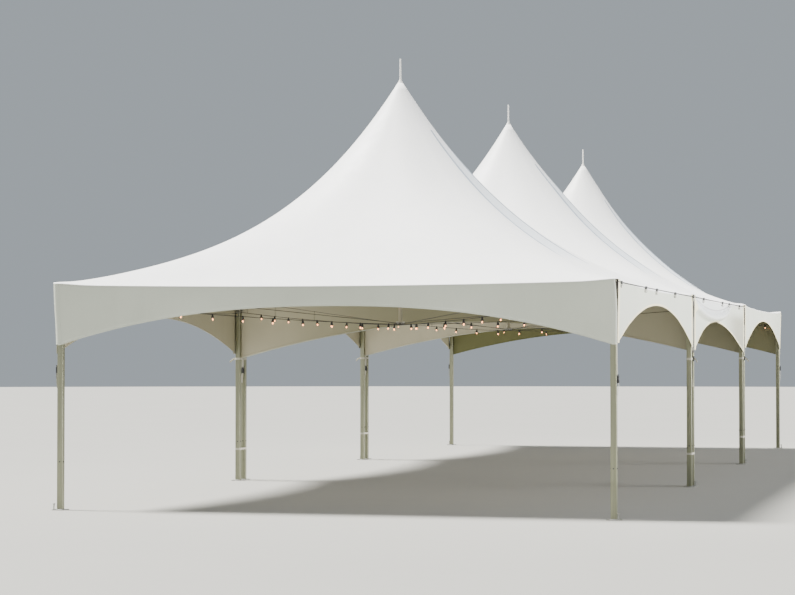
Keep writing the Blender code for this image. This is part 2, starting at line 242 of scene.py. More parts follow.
def newTree(name, inputs):
    tree = bpy.data.node_groups.new(name, "GeometryNodeTree")
    tree.interface.new_socket("Geometry", in_out="INPUT", socket_type="NodeSocketGeometry")
    for label, kind, value in inputs:
        socket = tree.interface.new_socket(label, in_out="INPUT", socket_type=f"NodeSocket{kind}")
        if value is not None:
            socket.default_value = value
    tree.interface.new_socket("Geometry", in_out="OUTPUT", socket_type="NodeSocketGeometry")
    start, end = tree.nodes.new("NodeGroupInput"), tree.nodes.new("NodeGroupOutput")
    return tree, start, end


def addNode(tree, kind, inputs=None, **settings):
    node = tree.nodes.new(kind)
    for key, value in settings.items():
        setattr(node, key, value)
    for key, value in (inputs or {}).items():
        if isinstance(value, bpy.types.NodeSocket):
            tree.links.new(value, node.inputs[key])
        else:
            node.inputs[key].default_value = value
    return node


def grown(name, base, tree, values):
    # Runs a tree on a base object and returns its result as a plain mesh object
    modifier = base.modifiers.new(tree.name, "NODES")
    modifier.node_group = tree
    for item in tree.interface.items_tree:
        if item.item_type == "SOCKET" and item.in_out == "INPUT" and item.name in values:
            modifier[item.identifier] = values[item.name]
    bpy.context.view_layer.update()
    graph = bpy.context.evaluated_depsgraph_get()
    mesh = bpy.data.meshes.new_from_object(base.evaluated_get(graph))
    base.modifiers.remove(modifier)
    mesh.name = name
    bpy.data.objects.remove(base)
    return linked(name, mesh)


def finishTree(tree, start, end, geometry):
    real = addNode(tree, "GeometryNodeRealizeInstances", {"Geometry": geometry})
    coated = addNode(tree, "GeometryNodeSetMaterial",
                     {"Geometry": real.outputs[0], "Material": start.outputs["Finish"]})
    tree.links.new(coated.outputs[0], end.inputs[0])


def hungTree():
    # Copies of one thing along a line at an even spacing, each swung a little its own way
    tree, start, end = newTree("hung along a line", [
        ("Thing", "Object", None), ("Finish", "Material", None), ("Spacing", "Float", 0.4),
        ("Swing", "Float", 0.1), ("Seed", "Int", 1)])
    places = addNode(tree, "GeometryNodeCurveToPoints",
                     {"Curve": start.outputs["Geometry"], "Length": start.outputs["Spacing"]}, mode="LENGTH")
    thing = addNode(tree, "GeometryNodeObjectInfo", {"Object": start.outputs["Thing"]})
    swingLow = addNode(tree, "ShaderNodeMath", {0: start.outputs["Swing"], 1: -1.0}, operation="MULTIPLY")
    low = addNode(tree, "ShaderNodeCombineXYZ", {"X": swingLow.outputs[0], "Y": swingLow.outputs[0], "Z": 0.0})
    high = addNode(tree, "ShaderNodeCombineXYZ",
                   {"X": start.outputs["Swing"], "Y": start.outputs["Swing"], "Z": 6.28})
    swing = addNode(tree, "FunctionNodeRandomValue",
                    {0: low.outputs[0], 1: high.outputs[0], "Seed": start.outputs["Seed"]},
                    data_type="FLOAT_VECTOR")
    copies = addNode(tree, "GeometryNodeInstanceOnPoints",
                     {"Points": places.outputs["Points"], "Instance": thing.outputs["Geometry"],
                      "Rotation": swing.outputs[0]})
    finishTree(tree, start, end, copies.outputs[0])
    return tree


def ropeTree():
    # Lays six strands round a line: a lobed section that turns once in each lay length
    tree, start, end = newTree("laid rope", [
        ("Finish", "Material", None), ("Radius", "Float", 0.004), ("Lay", "Float", 0.06),
        ("Step", "Float", 0.012)])
    fine = addNode(tree, "GeometryNodeResampleCurve",
                   {"Curve": start.outputs["Geometry"], "Length": start.outputs["Step"]}, mode="LENGTH")
    along = addNode(tree, "GeometryNodeSplineParameter")
    lays = addNode(tree, "ShaderNodeMath", {0: along.outputs["Length"], 1: start.outputs["Lay"]},
                   operation="DIVIDE")
    angle = addNode(tree, "ShaderNodeMath", {0: lays.outputs[0], 1: 2 * math.pi}, operation="MULTIPLY")
    tilted = addNode(tree, "GeometryNodeSetCurveTilt",
                     {"Curve": fine.outputs["Curve"], "Tilt": angle.outputs[0]})
    inner = addNode(tree, "ShaderNodeMath", {0: start.outputs["Radius"], 1: 0.72}, operation="MULTIPLY")
    lobes = addNode(tree, "GeometryNodeCurveStar",
                    {"Points": 6, "Inner Radius": inner.outputs[0], "Outer Radius": start.outputs["Radius"]})
    tube = addNode(tree, "GeometryNodeCurveToMesh",
                   {"Curve": tilted.outputs[0], "Profile Curve": lobes.outputs["Curve"], "Fill Caps": True})
    finishTree(tree, start, end, tube.outputs[0])
    return tree


def studTree():
    # One copy of a thing on each point, its Z along the point's own "facing" direction
    tree, start, end = newTree("studs on points", [("Thing", "Object", None), ("Finish", "Material", None)])
    points = addNode(tree, "GeometryNodeMeshToPoints", {"Mesh": start.outputs["Geometry"]})
    facing = addNode(tree, "GeometryNodeInputNamedAttribute", {"Name": "facing"}, data_type="FLOAT_VECTOR")
    turned = addNode(tree, "FunctionNodeAlignRotationToVector", {"Vector": facing.outputs[0]}, axis="Z")
    thing = addNode(tree, "GeometryNodeObjectInfo", {"Object": start.outputs["Thing"]})
    copies = addNode(tree, "GeometryNodeInstanceOnPoints",
                     {"Points": points.outputs[0], "Instance": thing.outputs["Geometry"],
                      "Rotation": turned.outputs[0]})
    finishTree(tree, start, end, copies.outputs[0])
    return tree


def studded(name, shape, finish, spots):
    # One copy of the shape on each spot, a (place, facing) pair
    thing = linked(name + "_model", meshFromShape(name, shape, 35))
    mesh = meshOf(name, [place for place, facing in spots], [])
    facing = mesh.attributes.new("facing", "FLOAT_VECTOR", "POINT")
    for item, (place, direction) in zip(facing.data, spots):
        item.vector = Vector(direction).normalized()
    made = grown(name, linked(name + "_points", mesh), studs, {"Thing": thing, "Finish": finish})
    bpy.data.objects.remove(thing)
    return made


studs = studTree()


# Materials

def newMaterial(name, metallic=0.0, **settings):
    material = bpy.data.materials.new(name)
    material.use_nodes = True
    tree = material.node_tree
    shader = tree.nodes["Principled BSDF"]
    shader.inputs["Metallic"].default_value = metallic
    for label, value in settings.items():
        shader.inputs[label.replace("_", " ")].default_value = value
    return material, tree, shader


def colour(rgb, dim=1.0):
    return tuple(channel * dim for channel in rgb) + (1.0,)


def mixed(tree, share, first, second):
    return addNode(tree, "ShaderNodeMix", {0: share, 6: first, 7: second}, data_type="RGBA").outputs[2]


def ranged(tree, value, low, high, fromLow=0.0, fromHigh=1.0):
    return addNode(tree, "ShaderNodeMapRange", {"Value": value, "From Min": fromLow, "From Max": fromHigh,
                                                "To Min": low, "To Max": high}).outputs[0]


def cloudy(tree, scale, stretch=(1.0, 1.0, 1.0), detail=3.0):
    place = addNode(tree, "ShaderNodeTexCoord")
    mapped = addNode(tree, "ShaderNodeMapping", {"Vector": place.outputs["Object"], "Scale": stretch})
    return addNode(tree, "ShaderNodeTexNoise",
                   {"Vector": mapped.outputs[0], "Scale": scale, "Detail": detail}).outputs[0]


def woven(tree, threads):
    # Two crossed sets of threads, as many for each metre of cloth
    place, bandsPerMetre = addNode(tree, "ShaderNodeTexCoord"), 0.314
    sets = [addNode(tree, "ShaderNodeTexWave",
                    {"Vector": place.outputs["UV"], "Scale": threads * bandsPerMetre, "Distortion": 0.4,
                     "Detail": 1.0}, bands_direction=way).outputs["Fac"] for way in ("X", "Y")]
    return addNode(tree, "ShaderNodeMath", {0: sets[0], 1: sets[1]}, operation="MAXIMUM").outputs[0]


def bumped(tree, shader, layers):
    # layers are (height, strength, distance), the coarsest first
    normal = None
    for height, strength, distance in layers:
        node = addNode(tree, "ShaderNodeBump",
                       {"Height": height, "Strength": strength, "Distance": distance})
        if normal is not None:
            tree.links.new(normal, node.inputs["Normal"])
        normal = node.outputs[0]
    tree.links.new(normal, shader.inputs["Normal"])


# Tones of each vinyl. The second tone is painted light, mixed in where the cloth's own values say: painted
# shade on the roof's side faces and on the inner faces, a painted highlight on the sagging valance
vinylLook = {
    # roof: its second tone is a painted cool shade high on the left and right faces
    "roof": {"tone": (0.89, 0.89, 0.88), "shade": (0.83, 0.835, 0.82), "seamTone": (0.69, 0.74, 0.775)},
    # valance: the roof's white vinyl painted greyer and greener, as painted shade and green bounce light
    "valance": {"tone": (0.625, 0.655, 0.565), "shade": (0.565, 0.595, 0.505), "seamTone": (0.72, 0.75, 0.74),
                "shadowTone": (0.29, 0.28, 0.21)},
    # underside: the white vinyl's inner face painted beige and olive for the shade under the roof and the light
    # through it; its second tone is a deeper painted shade
    "underside": {"tone": (0.68, 0.635, 0.50), "shade": (0.60, 0.56, 0.43), "seamTone": (0.125, 0.13, 0.035),
                  "seam": "dimness"},
    "hem": {"tone": (0.83, 0.77, 0.54), "shade": (0.75, 0.70, 0.48), "seamTone": (0.70, 0.68, 0.60)},
    # seam: a dark blue-grey painted shade line, on the roof's raised seams and the valance's crease
    "seam": {"tone": (0.36, 0.41, 0.47), "shade": (0.31, 0.36, 0.42), "seamTone": (0.5, 0.5, 0.5)},
}


def vinyl(name):
    # Coated vinyl: faint weather tones, rain streaks, painted shade and highlights where the cloth's own values
    # say, a fine cloth grain under the coat
    look = vinylLook[name]
    material, tree, shader = newMaterial(name + "_vinyl", Specular_IOR_Level=0.45)
    tone = mixed(tree, ranged(tree, cloudy(tree, 0.7, detail=4.0), 0.0, 1.0, 0.35, 0.7),
                 colour(look["tone"]), colour(look["shade"]))
    streaks = ranged(tree, cloudy(tree, 5.0, (1.0, 1.0, 0.12), 5.0), 0.0, 0.35, 0.45, 0.8)
    tone = mixed(tree, streaks, tone, colour(look["shade"], 0.96))
    mottle = ranged(tree, cloudy(tree, 55.0, detail=2.0), 0.0, 0.22, 0.4, 0.75)
    tone = mixed(tree, mottle, tone, colour(look["shade"]))
    # Painted light: a tone of painted shade or painted highlight, where the cloth's own values say
    seam = addNode(tree, "ShaderNodeAttribute", attribute_name=look.get("seam", "seam"))
    tone = mixed(tree, seam.outputs["Fac"], tone, colour(look["seamTone"]))
    # Painted shadow on the valances' outer face
    if "shadowTone" in look:
        shadow = addNode(tree, "ShaderNodeAttribute", attribute_name="shadow")
        tone = mixed(tree, shadow.outputs["Fac"], tone, colour(look["shadowTone"]))
    tree.links.new(tone, shader.inputs["Base Color"])
    tree.links.new(ranged(tree, cloudy(tree, 8.0), 0.42, 0.6), shader.inputs["Roughness"])
    bumped(tree, shader, [(cloudy(tree, 9.0, detail=3.0), 0.25, 0.004), (woven(tree, 700.0), 0.12, 0.0003)])
    return material


def metal(name, tone, shade, roughness, stretch, metallic=0.9, scuff=0.35, spangle=0.0):
    material, tree, shader = newMaterial(name, metallic)
    streaks = cloudy(tree, 30.0, stretch, 6.0)
    base = mixed(tree, ranged(tree, streaks, 0.0, 1.0, 0.3, 0.7), colour(tone), colour(shade))
    worn = ranged(tree, cloudy(tree, 3.5, detail=6.0), 0.0, scuff, 0.55, 0.75)
    base = mixed(tree, worn, base, colour(shade, 0.72))
    if spangle:
        place = addNode(tree, "ShaderNodeTexCoord")
        cells = addNode(tree, "ShaderNodeTexVoronoi", {"Vector": place.outputs["Object"], "Scale": 260.0})
        base = mixed(tree, ranged(tree, cells.outputs["Distance"], 0.0, spangle), base, colour(tone, 1.15))
    tree.links.new(base, shader.inputs["Base Color"])
    tree.links.new(ranged(tree, streaks, roughness - 0.07, roughness + 0.12), shader.inputs["Roughness"])
    bumped(tree, shader, [(streaks, 0.12, 0.0006)])
    return material


def rubber(name, tone, roughness=0.6):
    material, tree, shader = newMaterial(name)
    base = mixed(tree, ranged(tree, cloudy(tree, 40.0), 0.0, 1.0, 0.35, 0.7), colour(tone), colour(tone, 1.9))
    tree.links.new(base, shader.inputs["Base Color"])
    tree.links.new(ranged(tree, cloudy(tree, 90.0), roughness - 0.12, roughness + 0.1),
                   shader.inputs["Roughness"])
    bumped(tree, shader, [(cloudy(tree, 220.0, detail=2.0), 0.2, 0.0004)])
    return material


def webbing(name, tone):
    material, tree, shader = newMaterial(name, Sheen_Weight=0.15)
    ribs = addNode(tree, "ShaderNodeTexCoord")
    cross = addNode(tree, "ShaderNodeTexWave", {"Vector": ribs.outputs["Object"], "Scale": 130.0,
                                                "Distortion": 1.2, "Detail": 2.0}, bands_direction="Z")
    soiled = ranged(tree, cloudy(tree, 12.0, detail=5.0), 0.0, 0.6, 0.4, 0.8)
    base = mixed(tree, soiled, colour(tone), colour(tone, 0.62))
    base = mixed(tree, ranged(tree, cross.outputs["Fac"], 0.0, 0.35), base, colour(tone, 0.55))
    tree.links.new(base, shader.inputs["Base Color"])
    tree.links.new(ranged(tree, cross.outputs["Fac"], 0.75, 0.9), shader.inputs["Roughness"])
    bumped(tree, shader, [(cross.outputs["Fac"], 0.5, 0.0008)])
    return material


def glow(name, tone, light, strength):
    material, tree, shader = newMaterial(name, Roughness=0.08, Transmission_Weight=0.55, IOR=1.3)
    facing = addNode(tree, "ShaderNodeLayerWeight", {"Blend": 0.35})
    tree.links.new(mixed(tree, facing.outputs["Facing"], colour(tone), colour(tone, 0.75)),
                   shader.inputs["Base Color"])
    shader.inputs["Emission Color"].default_value = colour(light)
    shader.inputs["Emission Strength"].default_value = strength
    return material


roofVinyl, valanceVinyl, undersideVinyl, hemVinyl, seamVinyl = (vinyl(name) for name in vinylLook)
# The legs' aluminium is darker and more olive than the rails': painted shade
legMetal = metal("leg_aluminium", (0.365, 0.370, 0.26), (0.265, 0.27, 0.19), 0.42, (1.0, 1.0, 0.03))
railMetalX = metal("rail_aluminium_x", (0.60, 0.585, 0.49), (0.46, 0.45, 0.37), 0.42, (0.03, 1.0, 1.0))
railMetalY = metal("rail_aluminium_y", (0.60, 0.585, 0.49), (0.46, 0.45, 0.37), 0.42, (1.0, 0.03, 1.0))
# The corner fittings' dark steel is partly its own tone and partly painted shade
castMetal = metal("cast_fitting", (0.34, 0.335, 0.28), (0.23, 0.225, 0.19), 0.5, (1.0, 1.0, 1.0), 0.8, 0.5)
zincMetal = metal("zinc_plate", (0.44, 0.44, 0.41), (0.31, 0.31, 0.29), 0.38, (1.0, 1.0, 1.0), 0.95, 0.3, 0.4)
ropeMetal = metal("wire_rope", (0.20, 0.20, 0.19), (0.11, 0.11, 0.10), 0.45, (1.0, 1.0, 1.0), 0.85, 0.4)
mastMetal = metal("mast_aluminium", (0.64, 0.62, 0.54), (0.52, 0.50, 0.43), 0.38, (1.0, 1.0, 0.03), 0.85, 0.2)
capPaint = metal("white_paint", (0.80, 0.79, 0.75), (0.72, 0.71, 0.67), 0.5, (0.3, 0.3, 0.02), 0.0, 0.2)
blackRubber = rubber("black_cord", (0.022, 0.022, 0.023))
blackPlastic = rubber("black_socket", (0.03, 0.03, 0.031), 0.45)
paleWebbing = webbing("pale_webbing", (0.62, 0.60, 0.50))
# Dark webbing of the flaps, partly painted shade
shadeWebbing = webbing("shade_webbing", (0.042, 0.036, 0.026))
bulbGlass = glow("bulb_glass", (0.90, 0.56, 0.38), (1.0, 0.46, 0.22), 0.55)
clearGlass = glow("clear_glass", (0.86, 0.85, 0.80), (1.0, 0.9, 0.8), 0.0)
filament = glow("bulb_filament", (1.0, 0.8, 0.5), (1.0, 0.60, 0.28), 5.0)
print("materials made")


# Light cords with sockets and bulbs: under both cables of the front tent and along its left rail, under one
# cable of the middle tent, along the back of the rear tent, and outside along the right eave
lightCord = {
    "diameter": 0.007, "outsideDiameter": 0.012,
    "sample": 0.42,            # between the points of a line
    "frontTurn": (             # one corner of the front tent's cord, before its quarter turn
        (2.82, 2.82, 2.2235), (2.8632, 2.8632, 2.2275), (2.8755, 2.8862, 2.2300), (2.8730, 2.9122, 2.2310),
        (2.8564, 2.9324, 2.2295), (2.8314, 2.94, 2.2265), (2.79, 2.94, 2.2225)),
    "frontIn": (
        (-2.9694, -2.9694, 2.240), (-2.25, -2.25, 2.165), (-1.50, -1.50, 2.105), (-0.70, -0.70, 2.050),
        (0.0, 0.0, 2.0220), (0.70, 0.70, 2.050), (1.50, 1.50, 2.105), (2.25, 2.25, 2.165)),
    "frontSwag": ((1.90, 2.94, 2.200), (0.65, 2.94, 2.190), (-0.65, 2.94, 2.190), (-1.90, 2.94, 2.200)),
    "frontOut": (
        (-2.25, 2.25, 2.165), (-1.50, 1.50, 2.105), (-0.70, 0.70, 2.053), (0.0, 0.0, 2.0296),
        (0.70, -0.70, 2.053), (1.50, -1.50, 2.105), (2.25, -2.25, 2.165), (2.9694, -2.9694, 2.240)),
    "middleRoute": (
        (-2.9694, 2.9694, 2.240), (-2.25, 2.25, 2.165), (-1.50, 1.50, 2.105), (-0.70, 0.70, 2.048),
        (0.0, 0.0, 2.0220), (0.70, -0.70, 2.048), (1.50, -1.50, 2.105), (2.25, -2.25, 2.165),
        (2.9694, -2.9694, 2.240)),
    "rearRoute": (
        (-2.9694, 2.9694, 2.240), (-2.60, 2.93, 2.185), (-1.90, 2.92, 2.135), (-1.00, 2.92, 2.100),
        (0.0, 2.92, 2.085), (1.00, 2.92, 2.100), (1.90, 2.92, 2.135), (2.60, 2.93, 2.185),
        (2.9694, 2.9694, 2.240)),
    "outsideRoute": (          # in the row's frame
        (3.0548, -9.265, 2.412), (3.0548, -8.10, 2.409), (3.0548, -6.20, 2.407), (3.0548, -4.30, 2.408),
        (3.0548, -3.118, 2.410), (3.0548, -1.60, 2.407), (3.0548, 0.0, 2.405), (3.0548, 1.60, 2.407),
        (3.0548, 3.118, 2.410)),
    "spacing": {"front": 0.375, "middle": 0.56, "rear": 0.70},
    "outsidePlaces": (-9.09, -7.37, -6.53, -4.98, -3.27, -2.17, 0.0, 0.86, 2.25),
    "outsideOut": 0.010,
    "swing": 0.12,
    "dark": (-2.7, 1.7),       # the front tent's has no bulbs left of this, nor right of this at its end
}
# Lamps under their cord: (radius, height) pairs, and for a bulb its ball, the arc of it and the throat above
lampSet = {
    "inside": {
        "sockets": ((0.01419, -0.041), (0.0165, -0.037), (0.0165, -0.031), (0.01452, -0.028),
                    (0.01353, -0.020), (0.0105, -0.011), (0.0084, 0.004), (0.0036, 0.008)),
        "ball": 0.0112, "middle": -0.0552, "arc": (0.25, 0.7, 1.15, 1.57, 2.0, 2.4),
        "throat": (0.01188, -0.038),
        "filaments": ((0.002, -0.0642), (0.005, -0.0592), (0.005, -0.0492), (0.002, -0.0432)),
        "sides": {"sockets": 10, "bulbs": 10, "filaments": 6},
        "finishes": {"sockets": blackPlastic, "bulbs": bulbGlass, "filaments": filament},
    },
    "outside": {               # moulded around the cord, which runs through it
        "sockets": ((0.0116, -0.021), (0.0145, -0.017), (0.0145, 0.007), (0.0116, 0.011), (0.0058, 0.013)),
        "ball": 0.0175, "middle": -0.0425, "arc": (0.2, 0.6, 1.0, 1.4, 1.8, 2.2, 2.5),
        "throat": (0.00957, -0.018),
        "filaments": ((0.002, -0.0485), (0.004, -0.0445), (0.004, -0.0345), (0.002, -0.0285)),
        "sides": {"sockets": 14, "bulbs": 16, "filaments": 6},
        "finishes": {"sockets": blackPlastic, "bulbs": clearGlass, "filaments": ropeMetal},
    },
}


def smoothRoute(route, sample):
    points = [Vector(point) for point in route]
    lengths = [(after - before).length for before, after in zip(points, points[1:])]
    slopes = [(points[1] - points[0]) / lengths[0]]
    for index in range(1, len(points) - 1):
        before, after = lengths[index - 1], lengths[index]
        back = (points[index] - points[index - 1]) / before
        ahead = (points[index + 1] - points[index]) / after
        slopes.append((back * after + ahead * before) / (before + after))
    slopes.append((points[-1] - points[-2]) / lengths[-1])
    samples = [points[0]]
    for index, length in enumerate(lengths):
        steps = max(2, round(length / sample))
        for step in range(1, steps + 1):
            t = step / steps
            samples.append(points[index] * (1 + 2 * t) * (1 - t) ** 2
                           + slopes[index] * length * t * (1 - t) ** 2
                           + points[index + 1] * t * t * (3 - 2 * t)
                           + slopes[index + 1] * length * t * t * (t - 1))
    return samples


def lineObject(name, *runs, diameter=0.0):
    curve = bpy.data.curves.new(name, "CURVE")
    curve.dimensions = "3D"
    curve.bevel_depth = diameter / 2
    curve.bevel_resolution = 4
    curve.use_fill_caps = bool(diameter)
    for points in runs:
        spline = curve.splines.new("POLY")
        spline.points.add(len(points) - 1)
        for target, point in zip(spline.points, points):
            target.co = (*point, 1.0)
    return linked(name, curve)


def lampPart(kind, label):
    lamp = lampSet[kind]
    profile = lamp.get(label) or [(lamp["ball"] * math.sin(a), lamp["middle"] - lamp["ball"] * math.cos(a))
                                  for a in lamp["arc"]] + [lamp["throat"]]
    return turnedModel((profile, lamp["sides"][label]))


hungLights = hungTree()


def makeCord(name, route, node, diameter):
    line = smoothRoute(route, lightCord["sample"])
    cord = lineObject(name, line, diameter=diameter)
    return settle(cord, [node], [blackRubber]), line


def litRuns(tent, line):
    # The parts of a line that carry bulbs: the front tent's has none along the left rail and by its end
    if tent != "front":
        return [line[1:-1]]
    left, right = lightCord["dark"]
    beside = [index for index, point in enumerate(line) if point.x < left]
    last = max(index for index, point in enumerate(line) if point.x < right)
    return [line[1:beside[0]], line[beside[-1] + 1:last]]


def makeInsideCord(tent, route, middle, seed):
    # Lit bulbs at an even spacing, clear of the corners
    diameter, places = lightCord["diameter"], [(x, y + middle, z) for x, y, z in route]
    cord, line = makeCord(f"lights_{tent}", places, f"light_cord_{tent}", diameter)
    for label, finish in lampSet["inside"]["finishes"].items():
        thing = linked(f"{label}_model", meshFromShape(label, lampPart("inside", label), 50))
        hung = grown(f"{label}_{tent}", lineObject(f"{label}_line", *litRuns(tent, line)), hungLights,
                     {"Thing": thing, "Finish": finish, "Spacing": lightCord["spacing"][tent],
                      "Swing": lightCord["swing"], "Seed": seed})
        settle(hung)
        bpy.data.objects.remove(thing)


def makeOutsideCord():
    # Unlit bulbs, a few at uneven places
    diameter = lightCord["outsideDiameter"]
    cord, line = makeCord("lights_outside", lightCord["outsideRoute"], "light_cord_outside", diameter)
    sway, spots = random.Random(17), []
    for along in lightCord["outsidePlaces"]:
        before, after = next((a, b) for a, b in zip(line, line[1:]) if a.y <= along <= b.y)
        spot = before.lerp(after, (along - before.y) / (after.y - before.y))
        spots.append((spot + Vector((lightCord["outsideOut"], 0, 0)),
                      (sway.uniform(-0.1, 0.1), sway.uniform(-0.1, 0.1), 1.0)))
    pieces = [settle(studded(f"{label}_outside", lampPart("outside", label), finish, spots))
              for label, finish in lampSet["outside"]["finishes"].items()]


cornerTurn = lightCord["frontTurn"]
frontRoute = (*lightCord["frontIn"], *cornerTurn, *lightCord["frontSwag"],
              *((-x, y, z) for x, y, z in reversed(cornerTurn)), *lightCord["frontOut"])
insideRoutes = {"front": [(-y, x, z) for x, y, z in frontRoute],
                "middle": lightCord["middleRoute"], "rear": lightCord["rearRoute"]}
for index, (tent, middle) in enumerate(tents.items()):
    makeInsideCord(tent, insideRoutes[tent], middle, 11 + index)
makeOutsideCord()
print("light cords hung")


# Canopies: one continuous sheet each, drawn up to the mast, in welded gores, with a lip over the eave
canopySet = {
    "straightRise": 0.15, "curvedRise": 0.38, "curvePower": 1.6, "peakSteepness": 4.1,
    "shoulder": 0.85,          # how soon the square eave turns into a round peak
    "hole": 0.0313,
    "stations": 64,            # across each side
    "rings": 72,
    "edgeRings": (0.0, 0.0012, 0.0026, 0.0045, 0.008, 0.014, 0.024),
    "edgeRounding": 0.006, "lip": 0.004, "lipProud": 0.0012,
    "thickness": 0.0014,
    "hollow": 0.02,            # of each face between its hips, at mid height
    "folds": {"depth": 0.0042, "reach": 0.7, "end": 3.0},     # fanning out of each corner
    "puckers": {"depth": 0.003, "lengths": (0.31, 0.83), "reach": 0.22},    # along the eave
    "slack": 0.008, "slackScale": 0.7,
    # Painted shade of the canopy's inner face
    "dimness": 0.32,           # of the inner face
    "clothAround": 3.0, "clothUp": 4.3,    # metres that the weave is laid out on
    "ear": {"lift": 0.020, "reach": 0.24},    # of each drawn-up corner
    "seamAngle": 20,           # either side of the middle of the left and right faces
    "seamWidth": 0.055, "seamProud": 0.009, "seamRise": (0.34, 0.52, 0.80, 0.93),
    "flat": (7.15, 7.15), "area": 44.5,
}
# Where the three canopies hang unlike each other: a local dish, and the fullness of the right face
slack = {
    "middle": {"place": (2.45, 0.7), "reach": (0.45, 1.5), "depth": 0.05, "fullness": 0.050},
    "rear": {"place": (2.3, 1.9), "reach": (0.8, 1.6), "depth": 0.10, "fullness": -0.040},
}


def eaveHeight(along):
    return marquee["eave"] - marquee["eaveSag"] * (1 - (along / marquee["half"]) ** 2)


def levelRadius(angle, rise):
    corner = marquee["half"] * math.sqrt(2) * (1 - rise) + canopySet["hole"] * rise
    ratio = 1 + (math.sqrt(2) - 1) * (1 - rise) ** canopySet["shoulder"]
    size, spread = corner / ratio, math.sqrt(2) / ratio
    less, more = sorted((abs(math.cos(angle)), abs(math.sin(angle))))
    if spread < 1.0001:
        return size / more
    power = math.log(2) / math.log(spread)
    return size / (more * (1 + (less / more) ** power) ** (1 / power))


def canopyLift(rise):
    steep = 1 - canopySet["straightRise"] - canopySet["curvedRise"]
    return (canopySet["straightRise"] * rise + canopySet["curvedRise"] * rise ** canopySet["curvePower"]
            + steep * rise ** canopySet["peakSteepness"])


def smoothCanopy(angle, rise, peak):
    radius = levelRadius(angle, rise)
    x, y = math.cos(angle), math.sin(angle)
    edge = eaveHeight(marquee["half"] * (y / abs(x) if abs(x) > abs(y) else x / abs(y)))
    return Vector((radius * x, radius * y, edge + (peak - edge) * canopyLift(rise)))


def cornerRise(x, y):
    # From 0 to 1 at a tent's corner
    away = math.hypot(marquee["half"] - abs(x), marquee["half"] - abs(y)) / canopySet["ear"]["reach"]
    return math.exp(-away * away)


# How far the cloth is drawn outwards at the row's own four corners, most at the eave
flare = {"reach": 0.40, "low": 1.75, "out": {(-1, -1): 0.032, (1, -1): 0.010, (1, 1): 0.018, (-1, 1): 0.024}}


def flared(x, y, z):
    across, along = (1 if x > 0 else -1), (1 if y > 0 else -1)
    end = marquee["row"] + marquee["half"]
    away = math.hypot(marquee["half"] - abs(x), end - abs(y)) / flare["reach"]
    pull = flare["out"][across, along] * math.exp(-away * away) * softStep(z, flare["low"], marquee["eave"])
    return x + across * pull, y, z


def softStep(value, low, high):
    share = min(max((value - low) / (high - low), 0.0), 1.0)
    return share * share * (3 - 2 * share)


def canopyRelief(point, angle, rise, tent, seed):
    # How far the cloth stands out of its smooth shape
    half, folds, puckers, relief = marquee["half"], canopySet["folds"], canopySet["puckers"], 0.0
    inward = half - max(abs(point.x), abs(point.y))
    fromCorner = Vector((half - abs(point.x), half - abs(point.y)))
    if fromCorner.length < folds["end"]:
        reach = fromCorner.length / folds["reach"]
        lean = math.atan2(fromCorner.y, fromCorner.x) - math.pi / 4
        which = (point.x > 0) + 2 * (point.y > 0)
        fold = math.cos(13 * lean + 1.7 * which + seed) + 0.5 * math.cos(23 * lean + 2.9 * which)
        relief += folds["depth"] * fold * reach * math.exp(1 - reach)
    along = 2 * math.pi * (point.x if abs(point.y) > abs(point.x) else point.y)
    short, long = puckers["lengths"]
    pucker = math.sin(along / short + seed) + 0.7 * math.sin(along / long + 2 * seed)
    relief += puckers["depth"] * pucker * math.exp(-inward / puckers["reach"])
    lean = (angle / rightAngle + 0.5) % 1 - 0.5
    relief -= canopySet["hollow"] * math.cos(math.pi * lean) ** 2 * 4 * rise * (1 - rise)
    cloud = Vector((point.x * canopySet["slackScale"], point.y * canopySet["slackScale"], seed * 3.1))
    relief += canopySet["slack"] * noise.noise(cloud) * (1 - rise)
    if tent in slack:
        own = slack[tent]
        across = (point.x - own["place"][0]) / own["reach"][0]
        down = (point.y - own["place"][1]) / own["reach"][1]
        relief -= own["depth"] * math.exp(-across * across - down * down)
        relief += own["fullness"] * max(math.cos(angle), 0.0) ** 2 * softStep(rise, 0.1, 0.45) * (
            1 - softStep(rise, 0.8, 1.0))
    return relief * softStep(inward, 0.0, 0.06) * softStep(1 - rise, 0.0, 0.012)


def canopySurface(angle, rise, tent, seed):
    # A point of the finished cloth and the way it faces
    peak, step = marquee["peaks"][tent], 0.002
    point = smoothCanopy(angle, rise, peak)
    low, high = max(rise - step, 0.0), min(rise + step, 1.0)
    up = smoothCanopy(angle, high, peak) - smoothCanopy(angle, low, peak)
    around = smoothCanopy(angle + step, rise, peak) - smoothCanopy(angle - step, rise, peak)
    facing = around.cross(up).normalized()
    if facing.z < 0:
        facing.negate()
    inward = marquee["half"] - max(abs(point.x), abs(point.y))
    rounding = canopySet["edgeRounding"]
    if inward < rounding:
        point.z -= rounding - math.sqrt(max(rounding ** 2 - (rounding - inward) ** 2, 0.0))
    raised = Vector((0.0, 0.0, canopySet["ear"]["lift"] * cornerRise(point.x, point.y)))
    return point + facing * canopyRelief(point, angle, rise, tent, seed) + raised, facing


def seamWindow(rise):
    low, full, fading, end = canopySet["seamRise"]
    return softStep(rise, low, full) * (1 - softStep(rise, fading, end))


def canopyAngles():
    half, count = marquee["half"], canopySet["stations"]
    return [math.atan2(-half, half * (2 * step / count - 1)) + side * rightAngle
            for side in range(4) for step in range(count)]


